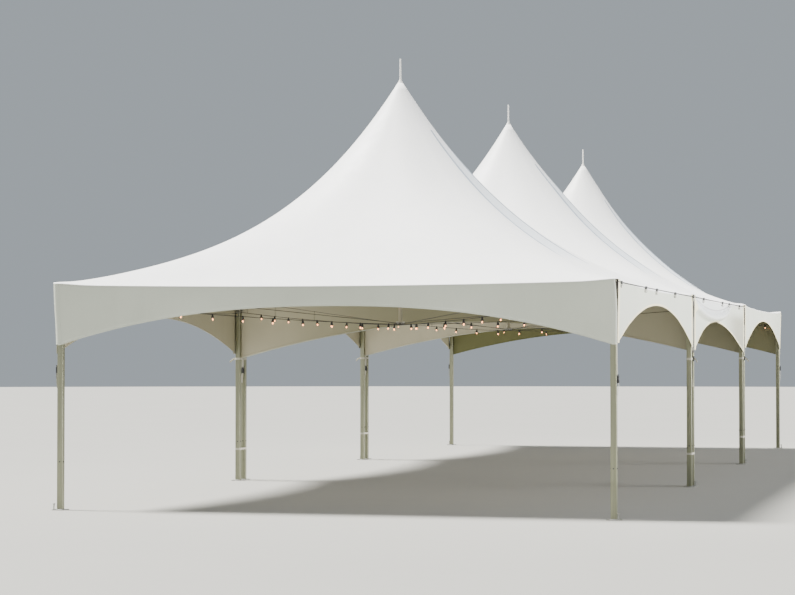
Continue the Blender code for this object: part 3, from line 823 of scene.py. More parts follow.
def makeCanopy(tent, middle, seed):
    angles, rings = canopyAngles(), canopySet["rings"]
    edge, seamAngle = canopySet["edgeRings"], canopySet["seamAngle"]
    clothAround, clothUp = canopySet["clothAround"], canopySet["clothUp"]
    rises = list(edge) + [edge[-1] + (1 - edge[-1]) * (step / rings) for step in range(1, rings + 1)]
    points, flats, shaded = [], [], [0.0] * len(angles)
    for angle in angles:    # the lip that laps over the valance
        point = canopySurface(angle, 0.0, tent, seed)[0]
        out = 1 + canopySet["lipProud"] / marquee["half"]
        points.append(flared(point.x * out, point.y * out + middle, point.z - canopySet["lip"]))
        flats.append((angle * clothAround, -canopySet["lip"]))
    for rise in rises:
        for angle in angles:
            point = canopySurface(angle, rise, tent, seed)[0]
            points.append(flared(point.x, point.y + middle, point.z))
            flats.append((angle * clothAround * (1 - rise), rise * clothUp))
            # Painted shade: a cool strip over the middle of each left and right face, between its raised seams
            lean = abs((math.degrees(angle) + 90) % 180 - 90)    # from the left or right face's middle
            shaded.append(seamWindow(rise) * (1 - softStep(lean, seamAngle - 5, seamAngle)))
    mesh = meshOf(f"roof_{tent}", points, gridFaces(len(rises) + 1, len(angles), closed=True))
    withUv(mesh, flats)
    withValues(mesh, seam=shaded, dimness=[canopySet["dimness"]] * len(points))
    mesh.shade_smooth()
    roof = linked(f"roof_{tent}", mesh)
    thicken(roof, canopySet["thickness"], materialOffset=1)
    settle(roof, [f"canopy_{tent}"], [roofVinyl, undersideVinyl])
    pieces = [canopySeams(tent, middle, seed)]


def canopySeams(tent, middle, seed):
    # The seams of the left and right faces, raised where the photograph shows them; their dark vinyl is a
    # painted shade line
    shape = bmesh.new()
    wide, steps, low, high = canopySet["seamWidth"] / 2, 70, canopySet["seamRise"][0], canopySet["seamRise"][-1]
    for which in range(4):
        middleAngle = (which // 2) * math.pi + math.radians((-1, 1)[which % 2] * canopySet["seamAngle"])
        rows = []
        for step in range(steps + 1):
            rise = low + (high - low) * step / steps
            radius, window, row = levelRadius(middleAngle, rise), seamWindow(rise), []
            for share, proud in ((-1, 0), (-0.75, 1), (0, 1.1), (0.75, 1), (1, 0)):
                point, facing = canopySurface(middleAngle + share * wide / radius, rise, tent, seed)
                place = point + facing * (canopySet["seamProud"] * proud * window - 0.001)
                row.append(shape.verts.new((place.x, place.y + middle, place.z)))
            rows.append(row)
        for before, after in zip(rows, rows[1:]):
            for place in range(4):
                shape.faces.new((before[place], before[place + 1], after[place + 1], after[place]))
    lookUp(shape)
    seams = linked(f"roof_seams_{tent}", meshFromShape("seams", shape, 60))
    return settle(seams, (), [seamVinyl])


def lookUp(shape):
    # Turns a loose sheet's faces to look upwards
    for face in shape.faces:
        face.normal_update()
        if face.normal.z < 0:
            face.normal_flip()


# Valances: hung sheets with an arched, hemmed lower edge and open corners
valanceSet = {
    "cuts": {                  # how deep the cloth hangs at its middle and at its corners
        "front": {"middle": 0.25, "corner": 0.67, "power": 2.3, "area": 2.28},
        "side": {"middle": 0.203, "corner": 0.665, "power": 2.0, "area": 2.2},
        "slack": {"middle": 0.31, "corner": 0.76, "power": 2.1, "area": 2.75},
        "swag": {"middle": 0.333, "corner": 0.72, "power": 2.2, "area": 2.7},
        "cross": {"middle": 0.33, "corner": 0.77, "power": 1.9, "area": 2.9},
    },
    # Uneven cuts: how much lower the right end hangs, and how far the arch leans over
    "tilt": {"front_back": 0.05, "middle_front": -0.05, "front_right": 0.012,
             "middle_right": 0.010, "middle_back": 0.02, "rear_front": -0.02},
    "lean": {"middle_right": 0.16},
    "flatCorner": 0.015,       # the corners are cut off level by this much
    "top": 0.0085, "stations": 150, "rows": 18,
    "thickness": 0.0014, "hem": 0.024, "endHem": {"side": 0.10, "cross": 0.024}, "hemProud": 0.0014,
    "ripple": {"side": 0.0025, "cross": 0.0075},
    # Between a valance's end and the corner, wide at the eave and nearly closed lower down
    "slit": {"side": (0.032, 0.016, 0.62), "cross": (0.030, 0.0025, 0.33), "closed": (0.0025, 0.0025, 0.33)},
    "inset": {"side": 0.002, "cross": 0.0},
    "waves": ((0.5, 1.45), (0.3, 0.78), (0.2, 0.41)),    # share and length of each ripple
    # A ripple grows over these depths below the eave, and dies out over these distances from the middle
    "rippleBelow": (0.09, 0.45), "rippleWithin": (2.7, 2.98),
    "width": 6.10,
}
# The slack side of the middle tent: the roof's cloth sags over the eave, creases and bulges
swag = {"valance": "middle_right", "rows": 46, "proud": 0.060,
        "crease": {"depth": 0.150, "middle": -0.30, "reach": 0.70, "power": 0.8},
        "bulge": {"depth": 0.262, "middle": -0.38, "reach": 0.85, "power": 0.85}, "turn": 0.075,
        "shadow": {"most": 0.75, "along": (0.0, 0.70), "down": (0.10, 0.27)}}


def valanceCut(label):
    named = {"front_front": "front", "front_left": "slack", "middle_right": "swag"}
    return valanceSet["cuts"][named.get(label, "side" if label.endswith(("right", "left")) else "cross")]


def valanceDepth(label, share):
    cut = valanceCut(label)
    depth = cut["middle"] + (cut["corner"] - cut["middle"]) * abs(share) ** cut["power"]
    depth += valanceSet["lean"].get(label, 0.0) * share * (1 - share * share)
    return depth + valanceSet["tilt"].get(label, 0.0) * share


def valanceBottom(label, along):
    share = along / marquee["half"]
    end = valanceDepth(label, math.copysign(1.0, share)) - valanceSet["flatCorner"]
    return marquee["eave"] - min(valanceDepth(label, share), end)


def slitWidth(which, depth):
    top, bottom, end = valanceSet["slit"][which]
    return top + (bottom - top) * min(max(depth / end, 0.0), 1.0) ** 0.8


def swagLine(line, share):
    away = (share - line["middle"]) / line["reach"]
    return line["depth"] * max(1 - away * away, 0.0) ** line["power"]


def swagShape(share, depth):
    # How far the sagging cloth stands out, how strong the painted highlight on its bulge is, and whether this
    # is the crease
    crease, bulge = swagLine(swag["crease"], share), swagLine(swag["bulge"], share)
    fade = (1 - softStep(abs(share), 0.93, 0.995)) * softStep(bulge - crease, 0.02, 0.09)
    crease = max(crease, 0.02)
    lean = softStep(depth, crease - 0.012, bulge) * (1 - softStep(depth, bulge, bulge + swag["turn"]))
    highlight = fade * (1 - softStep(depth, bulge - 0.03, bulge + 0.045))
    return swag["proud"] * fade * lean, highlight, abs(depth - crease) < 0.006 and fade > 0.3


# Painted shade on the inner faces, from their left end to their right end as the front camera sees them
dimness = {
    "front_back": ((-1.0, 0.12), (-0.78, 0.22), (-0.5, 0.50), (-0.2, 0.60), (0.35, 0.60), (0.6, 0.31),
                   (1.0, 0.38)),
    "middle_back": ((-1.0, 0.0), (-0.3, 0.02), (0.2, 0.32), (0.6, 0.50), (1.0, 0.55)),
    "rear_back": ((-1.0, 0.95), (0.2, 0.92), (1.0, 0.70)),
    "others": ((-1.0, 0.29), (1.0, 0.29)),
}


def innerDimness(label, share):
    # The back valances face about, so their right end is at the negative end of their own length
    stops = dimness.get(label, dimness["others"])
    place = min(max(-share, -1.0), 1.0)
    for (low, before), (high, after) in zip(stops, stops[1:]):
        if place <= high:
            return before + (after - before) * (place - low) / (high - low)
    return stops[-1][1]


def outerShadow(label, share, depth):
    # Painted shadow on the slack side beyond its bulge
    if label != swag["valance"]:
        return 0.0
    shadow = swag["shadow"]
    return shadow["most"] * softStep(share, *shadow["along"]) * softStep(depth, *shadow["down"])


def valanceColumns(inner):
    # (place, share of the end hem) from end to end; the share is None between the two end hems
    count = valanceSet["stations"]
    stations = [inner * (2 * step / count - 1) for step in range(count + 1)]
    return ([(stations[0], share) for share in (1.0, 0.5, 0.0)] + [(place, None) for place in stations]
            + [(stations[-1], share) for share in (0.0, 0.5, 1.0)])


def valanceHeights(top, bottom, rows, step):
    # From the top edge down to the hem, then over the hem
    hem, start = valanceSet["hem"], top - step
    return ([top] + [start + (bottom + hem + step - start) * row / (rows - 2) for row in range(rows - 1)]
            + [bottom + hem * share for share in (1, 0.97, 0.5, 0)])


def makeValance(tent, middle, side, quarter):
    half, eave, label = marquee["half"], marquee["eave"], f"{tent}_{side}"
    kind = "cross" if side in ("front", "back") else "side"
    slit = {1: kind, -1: "closed" if label == "front_front" else kind}
    waves = random.Random(label)
    parts = [(waves.uniform(0.8, 1.2) * size, length * waves.uniform(0.9, 1.1), waves.uniform(0, 6.28))
             for size, length in valanceSet["waves"]]
    end, step = half - valanceSet["inset"][kind], 0.001
    inner = end - valanceSet["endHem"][kind] - valanceSet["slit"][kind][0]
    rows = swag["rows"] if label == swag["valance"] else valanceSet["rows"]
    points, flats, hems, highlights = [], [], [], []
    columns = valanceColumns(inner - step)
    for base, hemShare in columns:
        sign, onEnd = (-1 if base < 0 else 1), hemShare is not None
        edge = sign * half if onEnd else base
        top = eaveHeight(base) - valanceSet["top"] + canopySet["ear"]["lift"] * cornerRise(edge, half)
        heights = valanceHeights(top, valanceBottom(label, edge), rows, step)
        for row, z in enumerate(heights):
            along, depth, onHem = base, eave - z, onEnd or row >= rows
            if onEnd:
                along = sign * (inner + (end - slitWidth(slit[sign], depth) - inner) * hemShare)
            calm = (softStep(depth, *valanceSet["rippleBelow"])
                    * (1 - softStep(abs(along), *valanceSet["rippleWithin"])))
            wave = sum(size * math.sin(2 * math.pi * along / length + phase) for size, length, phase in parts)
            proud = valanceSet["ripple"][kind] * (wave + 0.45) * calm + valanceSet["hemProud"] * onHem
            highlight, creased = 0.0, False
            # The sagging cloth's bulge gets a painted highlight
            if label == swag["valance"]:
                stands, highlight, creased = swagShape(along / half, depth)
                proud += stands
            points.append((along, 0.0004 - half - proud, z))
            flats.append((along, z))
            # The crease's rows take the dark vinyl of a painted shade line
            hems.append(1 if kind == "side" and onHem else 2 * int(creased))
            highlights.append(highlight)
    # Each quad starts at its lower corner, which sets the way that it is split
    faces = [face[1:] + face[:1] for face in gridFaces(len(columns), len(heights))]
    mesh = meshOf(f"valance_sheet_{label}", points, faces)
    withUv(mesh, flats)
    for face in mesh.polygons:
        codes = [hems[vert] for vert in face.vertices]
        face.material_index = 2 if codes.count(2) > 1 else min(codes)
    withValues(mesh, seam=highlights, dimness=[innerDimness(label, along / half) for along, z in flats],
               shadow=[outerShadow(label, along / half, eave - z) for along, z in flats])
    mesh.transform(sidePlace(quarter, middle))
    for vert in mesh.vertices:
        vert.co = flared(*vert.co)
    mesh.shade_smooth()
    mesh.set_sharp_from_angle(angle=math.radians(40))
    sheet = linked(f"valance_sheet_{label}", mesh)
    thicken(sheet, valanceSet["thickness"], materialOffset=3)
    settle(sheet, [f"valance_{label}"],
           [valanceVinyl, hemVinyl, seamVinyl] + [undersideVinyl] * 3)


# Rain gutters: fabric channels between two tents
gutterSet = {"reach": 0.0692, "depth": 0.088, "hems": (0.02, 0.022), "shoulder": 0.03, "below": 0.007,
             "thickness": 0.0014, "stations": 80, "flat": (6.10, 0.33), "sag": 0.004}


def gutterSection():
    # (across, height) pairs from one edge down through the channel to the other
    reach, depth, shoulder = gutterSet["reach"], gutterSet["depth"], gutterSet["shoulder"]
    side = [(reach, -low) for low in (0.0, *gutterSet["hems"])]
    channel = [(reach * math.copysign(abs(math.cos(a)) ** 0.4, -math.cos(a)),
                -shoulder - (depth - shoulder) * math.sin(a) ** 0.6)
               for a in (math.pi * k / 14 for k in range(15))]
    return [(-y, z) for y, z in side] + channel + side[::-1]


def makeGutter(near, far):
    name, joint = f"rain_gutter_{near}_{far}", (tents[near] + tents[far]) / 2
    section, stations, points, flats = gutterSection(), gutterSet["stations"], [], []
    for step in range(stations + 1):
        along = marquee["half"] * (2 * step / stations - 1) * 0.9995
        dip = gutterSet["sag"] * math.sin(along * 5.1 + joint)
        for y, z in section:
            height = eaveHeight(along) - gutterSet["below"] + z + dip * min(-z / gutterSet["depth"], 1.0)
            points.append((along, y + joint, height))
            flats.append((along, y + z))
    count = len(section)
    mesh = meshOf(name, points, [face[::-1] for face in gridFaces(stations + 1, count)])
    withUv(mesh, flats)
    for face in mesh.polygons:
        face.material_index = int(face.index % (count - 1) in (0, count - 2))
    mesh.shade_smooth()
    channel = linked(name, mesh)
    thicken(channel, gutterSet["thickness"], 0.0)
    settle(channel, [name.replace("rain_", "")], [valanceVinyl, hemVinyl])


for index, (tent, middle) in enumerate(tents.items()):
    makeCanopy(tent, middle, 1.3 * index + 0.4)
    for side, quarter in sides.items():
        makeValance(tent, middle, side, quarter)
print("canopies and valances made")
for near, far in (("front", "middle"), ("middle", "rear")):
    makeGutter(near, far)
print("gutters made")


# Aluminium frame: legs with base plate and corner fitting, rails with couplings
frameSet = {
    "round": 0.006,            # corner rounding of the tubes
    "plate": 0.075, "plateThickness": 0.008, "plateRound": 0.014, "plateEdge": 0.001, "plateHole": 0.056,
    "sleeveLength": 0.18, "sleeveRound": 0.007, "armLength": 0.16,
    "collar": (0.014, 0.002), "collarProud": 0.002,    # from the arm's end
    "webDrop": 0.09, "webThickness": 0.012,
    "lugEnd": 4.1495, "lugDrop": 0.034, "lugHalf": (0.015, 0.02), "lugEye": (0.012, 0.013),
    "weld": 0.004,
    # How far out from the leg a bolt sits, and how far below the fitting's top
    "bolts": ((0.085, 0.036), (0.125, 0.036), (-0.021, 0.13)),
    "coupling": 1.786, "couplingLength": 0.15, "couplingProud": 0.003, "couplingBolt": 0.045,
    "railEnd": 0.08,           # how far a rail goes into the fitting's arm
    "pinHeight": 0.52,
}


def fittingTop():
    return eaveHeight(marquee["legAxis"] - frameSet["armLength"]) - marquee["fabricSeat"]


def lugHeight():
    return fittingTop() - frameSet["lugDrop"]


def railHeight(along):
    return eaveHeight(along) - (marquee["fabricSeat"] + marquee["tube"] / 2)


def legModel():
    # The front left corner's leg about its own axis; arms reach along +X and +Y
    half, outer, top = marquee["tube"] / 2, marquee["sleeve"] / 2, fittingTop()
    plate, plateRound, plateTop = (frameSet[key] for key in ("plate", "plateRound", "plateThickness"))
    arm, armLow, lap = frameSet["armLength"], top - marquee["sleeve"], 0.004
    webLow, webThickness = armLow - frameSet["webDrop"], frameSet["webThickness"]
    shape = bmesh.new()
    addPrism(shape, roundedSquare(half, frameSet["round"]), 0.006, top - lap)
    plateEdge = frameSet["plateEdge"]
    for inset, low, high in ((0.0, 0.0, plateTop - plateEdge), (plateEdge, plateTop - plateEdge, plateTop)):
        addPrism(shape, roundedSquare(plate - inset, plateRound - inset), low, high, materialIndex=2)
    sleeve = roundedSquare(outer, frameSet["sleeveRound"])
    collar = roundedSquare(outer + frameSet["collarProud"], frameSet["sleeveRound"] + 0.001)
    addPrism(shape, sleeve, top - frameSet["sleeveLength"], top, materialIndex=1)
    for turn in (0.0, rightAngle):
        spin = Matrix.Rotation(turn, 4, "Z")
        alongX = spin @ Matrix.Translation((0, 0, top - outer)) @ Matrix.Rotation(rightAngle, 4, "Y")
        addPrism(shape, sleeve, outer - lap, arm, alongX, 1)
        addPrism(shape, collar, arm - frameSet["collar"][0], arm - frameSet["collar"][1], alongX, 1)
        web = spin @ Matrix.Translation((0, webThickness / 2, 0)) @ Matrix.Rotation(rightAngle, 4, "X")
        outline = [(half, armLow + lap), (half, webLow), (outer, webLow), (outer + 0.012, webLow + lap),
                   (arm - 0.006, armLow - 0.008), (arm - lap, armLow + lap)]
        addPrism(shape, outline, 0.0, webThickness, web, 1)
    lugZ, lugTip = lugHeight(), marquee["legAxis"] * math.sqrt(2) - frameSet["lugEnd"]
    diagonal, (across, over) = Matrix.Rotation(rightAngle / 2, 4, "Z"), frameSet["lugHalf"]
    addBox(shape, (outer, -across, lugZ - over), (lugTip - 0.01, across, lugZ + over), 0.004, 2, diagonal, 1)
    eye = oval(lugTip - frameSet["lugEye"][0], lugZ, *frameSet["lugEye"])
    addSweep(shape, [diagonal @ Vector(point) for point in eye], roundSection(0.004, 6),
             diagonal @ Vector((0, 1, 0)), 2, closed=True)
    for size, height in ((half, plateTop), (outer, top - frameSet["sleeveLength"])):
        weld = [(x, y, height) for x, y in roundedSquare(size + 0.001, frameSet["round"])]
        addSweep(shape, weld, roundSection(frameSet["weld"], 6), materialIndex=2, closed=True)
    bmesh.ops.recalc_face_normals(shape, faces=shape.faces)
    return meshFromShape("leg", shape, 35)


def legPlaces(tent):
    # Where each leg of a tent stands, turned so that its arms reach along the eaves
    axis = marquee["legAxis"]
    return {corner: Matrix.Translation((across * axis, tents[tent] + along * axis, 0.0))
            @ Matrix.Rotation(quarter * rightAngle, 4, "Z")
            for quarter, (corner, (across, along)) in enumerate(corners.items())}


def makeLegs(tent):
    # Returns where the bolts, the adjusting pins and the plate holes sit, with the way that each faces
    top, outer, bolts, pins, holes = fittingTop(), marquee["sleeve"] / 2, [], [], []
    hole, plateTop = frameSet["plateHole"], frameSet["plateThickness"]
    for corner, matrix in legPlaces(tent).items():
        mesh, turn = leg.copy(), matrix.to_3x3()
        mesh.transform(matrix)
        settle(linked(f"leg_tube_{tent}_{corner}", mesh), [f"leg_{tent}_{corner}"],
               [legMetal, castMetal, zincMetal])
        for out, drop in frameSet["bolts"]:
            bolts.append((matrix @ Vector((out, outer, top - drop)), turn @ Vector((0, 1, 0))))
            bolts.append((matrix @ Vector((outer, out, top - drop)), turn @ Vector((1, 0, 0))))
        for facing in ((1, 0, 0), (-1, 0, 0), (0, 1, 0), (0, -1, 0)):
            spot = Vector(facing) * marquee["tube"] / 2 + Vector((0, 0, frameSet["pinHeight"]))
            pins.append((matrix @ spot, turn @ Vector(facing)))
        for across, along in ((-1, 1), (1, 1), (1, -1)):
            holes.append((matrix @ Vector((across * hole, along * hole, plateTop)), (0, 0, 1)))
    return bolts, pins, holes


def makeRails(tent, middle):
    # Four rails of one tent, each bowed as the eave, with two couplings; returns the couplings' bolts
    tube, axis, rounding, bolts = marquee["tube"] / 2, -marquee["legAxis"], frameSet["round"], []
    reach = marquee["legAxis"] - frameSet["armLength"] + frameSet["railEnd"]
    stations = [reach * (2 * k / 40 - 1) for k in range(41)]
    for side, quarter in sides.items():
        shape, place = bmesh.new(), sidePlace(quarter, middle)
        addSweep(shape, [(along, axis, railHeight(along)) for along in stations],
                 roundedSquare(tube, rounding))
        for spot in (-frameSet["coupling"], frameSet["coupling"]):
            ends = [spot + frameSet["couplingLength"] * share for share in (-0.5, -0.46, 0, 0.46, 0.5)]
            addSweep(shape, [(along, axis, railHeight(along)) for along in ends],
                     roundedSquare(tube + frameSet["couplingProud"], rounding + 0.002), materialIndex=1)
            for shift in (-frameSet["couplingBolt"], frameSet["couplingBolt"]):
                inside = Vector((spot + shift, axis + tube + frameSet["couplingProud"], railHeight(spot)))
                bolts.append((place @ inside, place.to_3x3() @ Vector((0, 1, 0))))
        bmesh.ops.transform(shape, matrix=place, verts=shape.verts)
        finish = railMetalX if side in ("front", "back") else railMetalY
        shaped(f"rail_tube_{tent}_{side}", shape, 35, [finish, zincMetal], [f"rail_{tent}_{side}"])
    return bolts


# Small fixings that face along +Z: turned parts, each with its number of sides
fixingSet = {
    "bolt": [([(0.011, -0.001), (0.0115, 0.0005), (0.0115, 0.0018), (0.010, 0.0022)], 14),    # washer
             ([(0.0085, 0.0020), (0.0090, 0.0028), (0.0090, 0.0072), (0.0072, 0.0086)], 6)],    # hexagon head
    "pin": [([(0.0075, -0.002), (0.0075, 0.003), (0.0060, 0.0055), (0.0020, 0.0062)], 12)],
    "hole": [([(0.0095, -0.002), (0.0095, 0.0004)], 14)],
}

leg = legModel()
bolts, pins, holes = [], [], []
for tent, middle in tents.items():
    for spots, more in zip((bolts, pins, holes), makeLegs(tent)):
        spots += more
    bolts += makeRails(tent, middle)
settle(studded("frame_bolts", turnedModel(*fixingSet["bolt"]), zincMetal, bolts))
settle(studded("leg_pins", turnedModel(*fixingSet["pin"]), blackPlastic, pins))
settle(studded("plate_holes", turnedModel(*fixingSet["hole"]), blackPlastic, holes))
print("frame made")


# Stakes through the base plates
stakeSet = {"radius": 0.008, "height": 0.07, "place": (-0.055, -0.052, 0.0075), "lean": 0.05}


def makeStakes():
    shape, radius, lean = bmesh.new(), stakeSet["radius"], stakeSet["lean"]
    sway = random.Random(5)
    for tent in tents:
        for matrix in legPlaces(tent).values():
            tilt = (Matrix.Rotation(sway.uniform(-lean, lean), 4, "X")
                    @ Matrix.Rotation(sway.uniform(-lean, lean), 4, "Y"))
            height = stakeSet["height"] * sway.uniform(0.8, 1.0)
            addTurned(shape, [(radius, 0.0), (radius, height - 0.012), (radius * 1.6, height - 0.009),
                              (radius * 1.7, height - 0.002), (radius * 1.3, height)],
                      12, matrix @ Matrix.Translation(stakeSet["place"]) @ tilt)
    shaped("stakes", shape, 40, [zincMetal])


makeStakes()


# Cross cables: laid wire rope between turnbuckles, level under the mast foot
cableSet = {"radius": 0.004, "lay": 0.07, "step": 0.011,
            "heights": {"from_left": 2.0457, "from_right": 2.0374},
            "saddle": 0.06, "saddleBend": 0.02, "straightFrom": 0.3, "endLength": 0.25, "clear": 0.0003}
# A turnbuckle along +X from its lug
turnbuckleSet = {
    "rings": (((0.006, 0.0, 0.017, 0.014, 16), 0.0042),       # shackle
              ((0.201, 0.0, 0.014, 0.010, 14), 0.0035)),      # eye
    "rods": ((0.018, 0.055, 0.0055), (0.145, 0.190, 0.0055), (0.214, 0.252, 0.0068)),    # two screws, ferrule
    "nuts": (0.045, 0.143),
    "bars": {"from": 0.048, "to": 0.152, "out": 0.0105, "half": (0.003, 0.004)},
}


def turnbuckleModel():
    shape, alongX = bmesh.new(), Matrix.Rotation(rightAngle, 4, "Y")
    for sizes, wire in turnbuckleSet["rings"]:
        addSweep(shape, oval(*sizes), roundSection(wire, 6), Vector((0, 1, 0)), closed=True)
    for low, high, radius in turnbuckleSet["rods"]:
        addTurned(shape, [(radius * 0.8, low), (radius, low + 0.002), (radius, high - 0.002),
                          (radius * 0.8, high)], 10, alongX)
    for end in turnbuckleSet["nuts"]:
        addTurned(shape, [(0.009, end), (0.0105, end + 0.002), (0.0105, end + 0.010), (0.009, end + 0.012)],
                  10, alongX)
    bars = turnbuckleSet["bars"]
    for out in (-bars["out"], bars["out"]):
        across, over = bars["half"]
        addBox(shape, (bars["from"], out - across, -over), (bars["to"], out + across, over), 0.0012, 1)
    bmesh.ops.recalc_face_normals(shape, faces=shape.faces)
    return meshFromShape("turnbuckle", shape, 40)


def makeCables(tent, middle):
    turnbuckle, lugZ, ends = turnbuckleModel(), lugHeight(), bmesh.new()
    saddle, bend = cableSet["saddle"], cableSet["saddleBend"]
    straight, endLength = cableSet["straightFrom"], cableSet["endLength"]
    reach = frameSet["lugEnd"] - cableSet["clear"]
    for (label, height), lean in zip(cableSet["heights"].items(), (0.5, -0.5)):
        turn = Matrix.Translation((0, middle, 0)) @ Matrix.Rotation(lean * rightAngle, 4, "Z")
        slope = math.atan2(lugZ - height, reach - saddle)
        half = [(saddle - bend, height), (saddle + bend, height + 0.0008),
                (straight, height + (straight - saddle) * math.tan(slope)),
                (reach - endLength * math.cos(slope), lugZ - endLength * math.sin(slope))]
        route = [(-x, z) for x, z in reversed(half)] + half
        base = lineObject("rope_line", [turn @ Vector((x, 0, z)) for x, z in route])
        rope = grown(f"rope_{tent}_{label}", base, ropes, {
            "Finish": ropeMetal, "Radius": cableSet["radius"], "Lay": cableSet["lay"],
            "Step": cableSet["step"]})
        rope.data.shade_smooth()
        settle(rope, [f"cable_{tent}_{label}"])
        for facing in (0.0, math.pi):
            mesh = turnbuckle.copy()
            mesh.transform(turn @ Matrix.Rotation(facing, 4, "Z") @ Matrix.Translation((-reach, 0, lugZ))
                           @ Matrix.Rotation(slope, 4, "Y"))
            ends.from_mesh(mesh)
    shaped(f"turnbuckles_{tent}", ends, 40, [zincMetal])


ropes = ropeTree()
for tent, middle in tents.items():
    makeCables(tent, middle)
print("cables made")


# Flying masts: tube, foot with cable saddle, crown, cap and spike
mastSet = {"radius": 0.022, "sides": 32, "footRadius": 0.05, "crownRadius": 0.030, "crownDrop": 0.035,
           "capRadius": 0.034, "clear": 0.0003, "spikeRadius": 0.0108, "spikeTip": 0.0088, "spikeReach": 0.285,
           "cheek": {"from": 0.028, "to": 0.046, "out": 0.0085, "half": 0.002, "low": -0.019}}


def makeMast(tent, middle):
    foot, peak, radius = marquee["mastFoot"], marquee["peaks"][tent], mastSet["radius"]
    crown, cap, tip = peak - mastSet["crownDrop"], peak + mastSet["clear"], peak + mastSet["spikeReach"]
    footRadius, crownRadius, capRadius = mastSet["footRadius"], mastSet["crownRadius"], mastSet["capRadius"]
    place = Matrix.Translation((0, middle, 0))
    shape = bmesh.new()
    addTurned(shape, [
        (footRadius - 0.002, foot), (footRadius, foot + 0.002), (footRadius, foot + 0.010),
        (footRadius - 0.002, foot + 0.012), (radius + 0.006, foot + 0.0125), (radius + 0.002, foot + 0.016),
        (radius, foot + 0.020), (radius, crown - 0.026), (radius + 0.003, crown - 0.021),
        (crownRadius, crown - 0.020), (crownRadius, crown), (radius, crown), (radius, cap)],
        mastSet["sides"], place)
    shaped(f"mast_tube_{tent}", shape, 35, [mastMetal], [f"mast_{tent}"])
    shape = bmesh.new()
    spike, spikeTip = mastSet["spikeRadius"], mastSet["spikeTip"]
    addTurned(shape, [
        (capRadius - 0.001, cap - 0.010), (capRadius, cap - 0.006), (capRadius - 0.002, cap),
        (0.024, cap + 0.012), (0.018, cap + 0.026), (spike + 0.001, cap + 0.038), (spike, cap + 0.044),
        (spikeTip, tip - 0.005), (spikeTip - 0.003, tip)], mastSet["sides"], place)
    shaped(f"peak_cap_{tent}", shape, 60, [capPaint])
    shape, cheek = bmesh.new(), mastSet["cheek"]
    for lean in (0.5, -0.5):    # saddle cheeks either side of each cable
        turn = place @ Matrix.Rotation(lean * rightAngle, 4, "Z")
        for out in (-cheek["out"], cheek["out"]):
            for end in (-1, 1):
                addBox(shape, (end * cheek["from"], out - cheek["half"], foot + cheek["low"]),
                       (end * cheek["to"], out + cheek["half"], foot + 0.002), 0.001, 1, turn)
    addTurned(shape, [(0.006, foot + 0.012), (0.007, foot + 0.0125), (0.007, foot + 0.014),
                      (0.006, foot + 0.0145)], 12, place @ Matrix.Translation((0.038, 0, 0)))
    shaped(f"cable_saddle_{tent}", shape, 40, [zincMetal])


for tent, middle in tents.items():
    makeMast(tent, middle)
print("masts made")


# Straps: webbing from each valance corner to a ratchet on the leg
strapSet = {"width": 0.025, "thickness": 0.002,
            "hang": ((0.0022, 1.80), (0.0022, 1.70), (0.003, 1.60)),    # off the leg's face, and height
            "buckleTop": 1.49, "buckleLow": 1.41, "buckleWide": 0.004, "tail": 0.16,
            "raised": {(-3, -9): 0.06, (3, -9): -0.03}, "uneven": 0.03}


def strapPlaces():
    # The foot of every leg, and the way that its strap's face looks
    for tent, middle in tents.items():
        for across, along in corners.values():
            atJoint = abs(middle + along * marquee["row"]) < 1.5 * marquee["row"]
            facing = Vector((0, along, 0)) if atJoint else Vector((across, 0, 0))
            yield Vector((across * marquee["legAxis"], middle + along * marquee["legAxis"], 0)), facing


def makeStraps():
    webs, buckles = bmesh.new(), bmesh.new()
    section = flatSection(strapSet["width"], strapSet["thickness"])
    wide = strapSet["width"] / 2 + strapSet["buckleWide"]
    sway, uneven = random.Random(21), strapSet["uneven"]
    for foot, facing in strapPlaces():
        side, up = facing.cross(Vector((0, 0, 1))), Vector((0, 0, 1))
        face = foot + facing * (marquee["tube"] / 2)
        place = Matrix.Translation(face) @ Matrix((side, facing, up)).transposed().to_4x4()
        raised = strapSet["raised"].get((round(foot.x), round(foot.y)), sway.uniform(-uneven, uneven))
        low, high = strapSet["buckleLow"] + raised, strapSet["buckleTop"] + raised
        hang = [(0.0, out, z) for out, z in strapSet["hang"]] + [(0.0, 0.007, high - 0.01)]
        tail, lean = strapSet["tail"] * sway.uniform(0.7, 1.1), sway.uniform(-0.02, 0.02)
        curl = [(0.0, 0.016, low + 0.012), (lean * 0.2, 0.020, low - 0.02),
                (lean * 0.6, 0.017, low - tail * 0.5), (lean, 0.012, low - tail)]
        for path in (hang, curl):
            addSweep(webs, [place @ Vector(point) for point in path], section, facing)
        addBox(buckles, (-wide, 0.001, low), (wide, 0.005, high), 0.001, 1, place)
        for edge in (-wide, wide):
            addBox(buckles, (edge - 0.0015, 0.003, low + 0.004), (edge + 0.0015, 0.022, high - 0.006),
                   0.001, 1, place)
        addBox(buckles, (-wide + 0.003, 0.014, low + 0.030), (wide - 0.003, 0.021, high + 0.012),
               0.003, 2, place)
        for z in (low + 0.014, high - 0.018):
            addTurned(buckles, [(0.006, -wide), (0.0062, -wide + 0.001), (0.0062, wide - 0.001), (0.006, wide)],
                      10, place @ Matrix.Translation((0, 0.012, z)) @ Matrix.Rotation(rightAngle, 4, "Y"))
    shaped("valance_straps", webs, 40, [paleWebbing])
    shaped("strap_ratchets", buckles, 40, [blackPlastic])


makeStraps()


# Pale bands with a black buckle round each pair of legs at a joint
bandSet = {"height": 0.026, "thickness": 0.0022, "at": (1.62, 0.42), "clear": 0.0015, "round": 0.008,
           "buckle": {"out": (0.0005, 0.016), "half": 0.026, "low": -0.032, "high": 0.034},
           "tail": (           # out from the band, along the joint, and up
               (0.010, -0.020, 0.0), (0.030, -0.055, 0.004), (0.050, -0.10, -0.012), (0.06, -0.15, -0.045))}
jointSides = [(joint, sign) for joint in (-marquee["row"] / 2, marquee["row"] / 2) for sign in (-1, 1)]


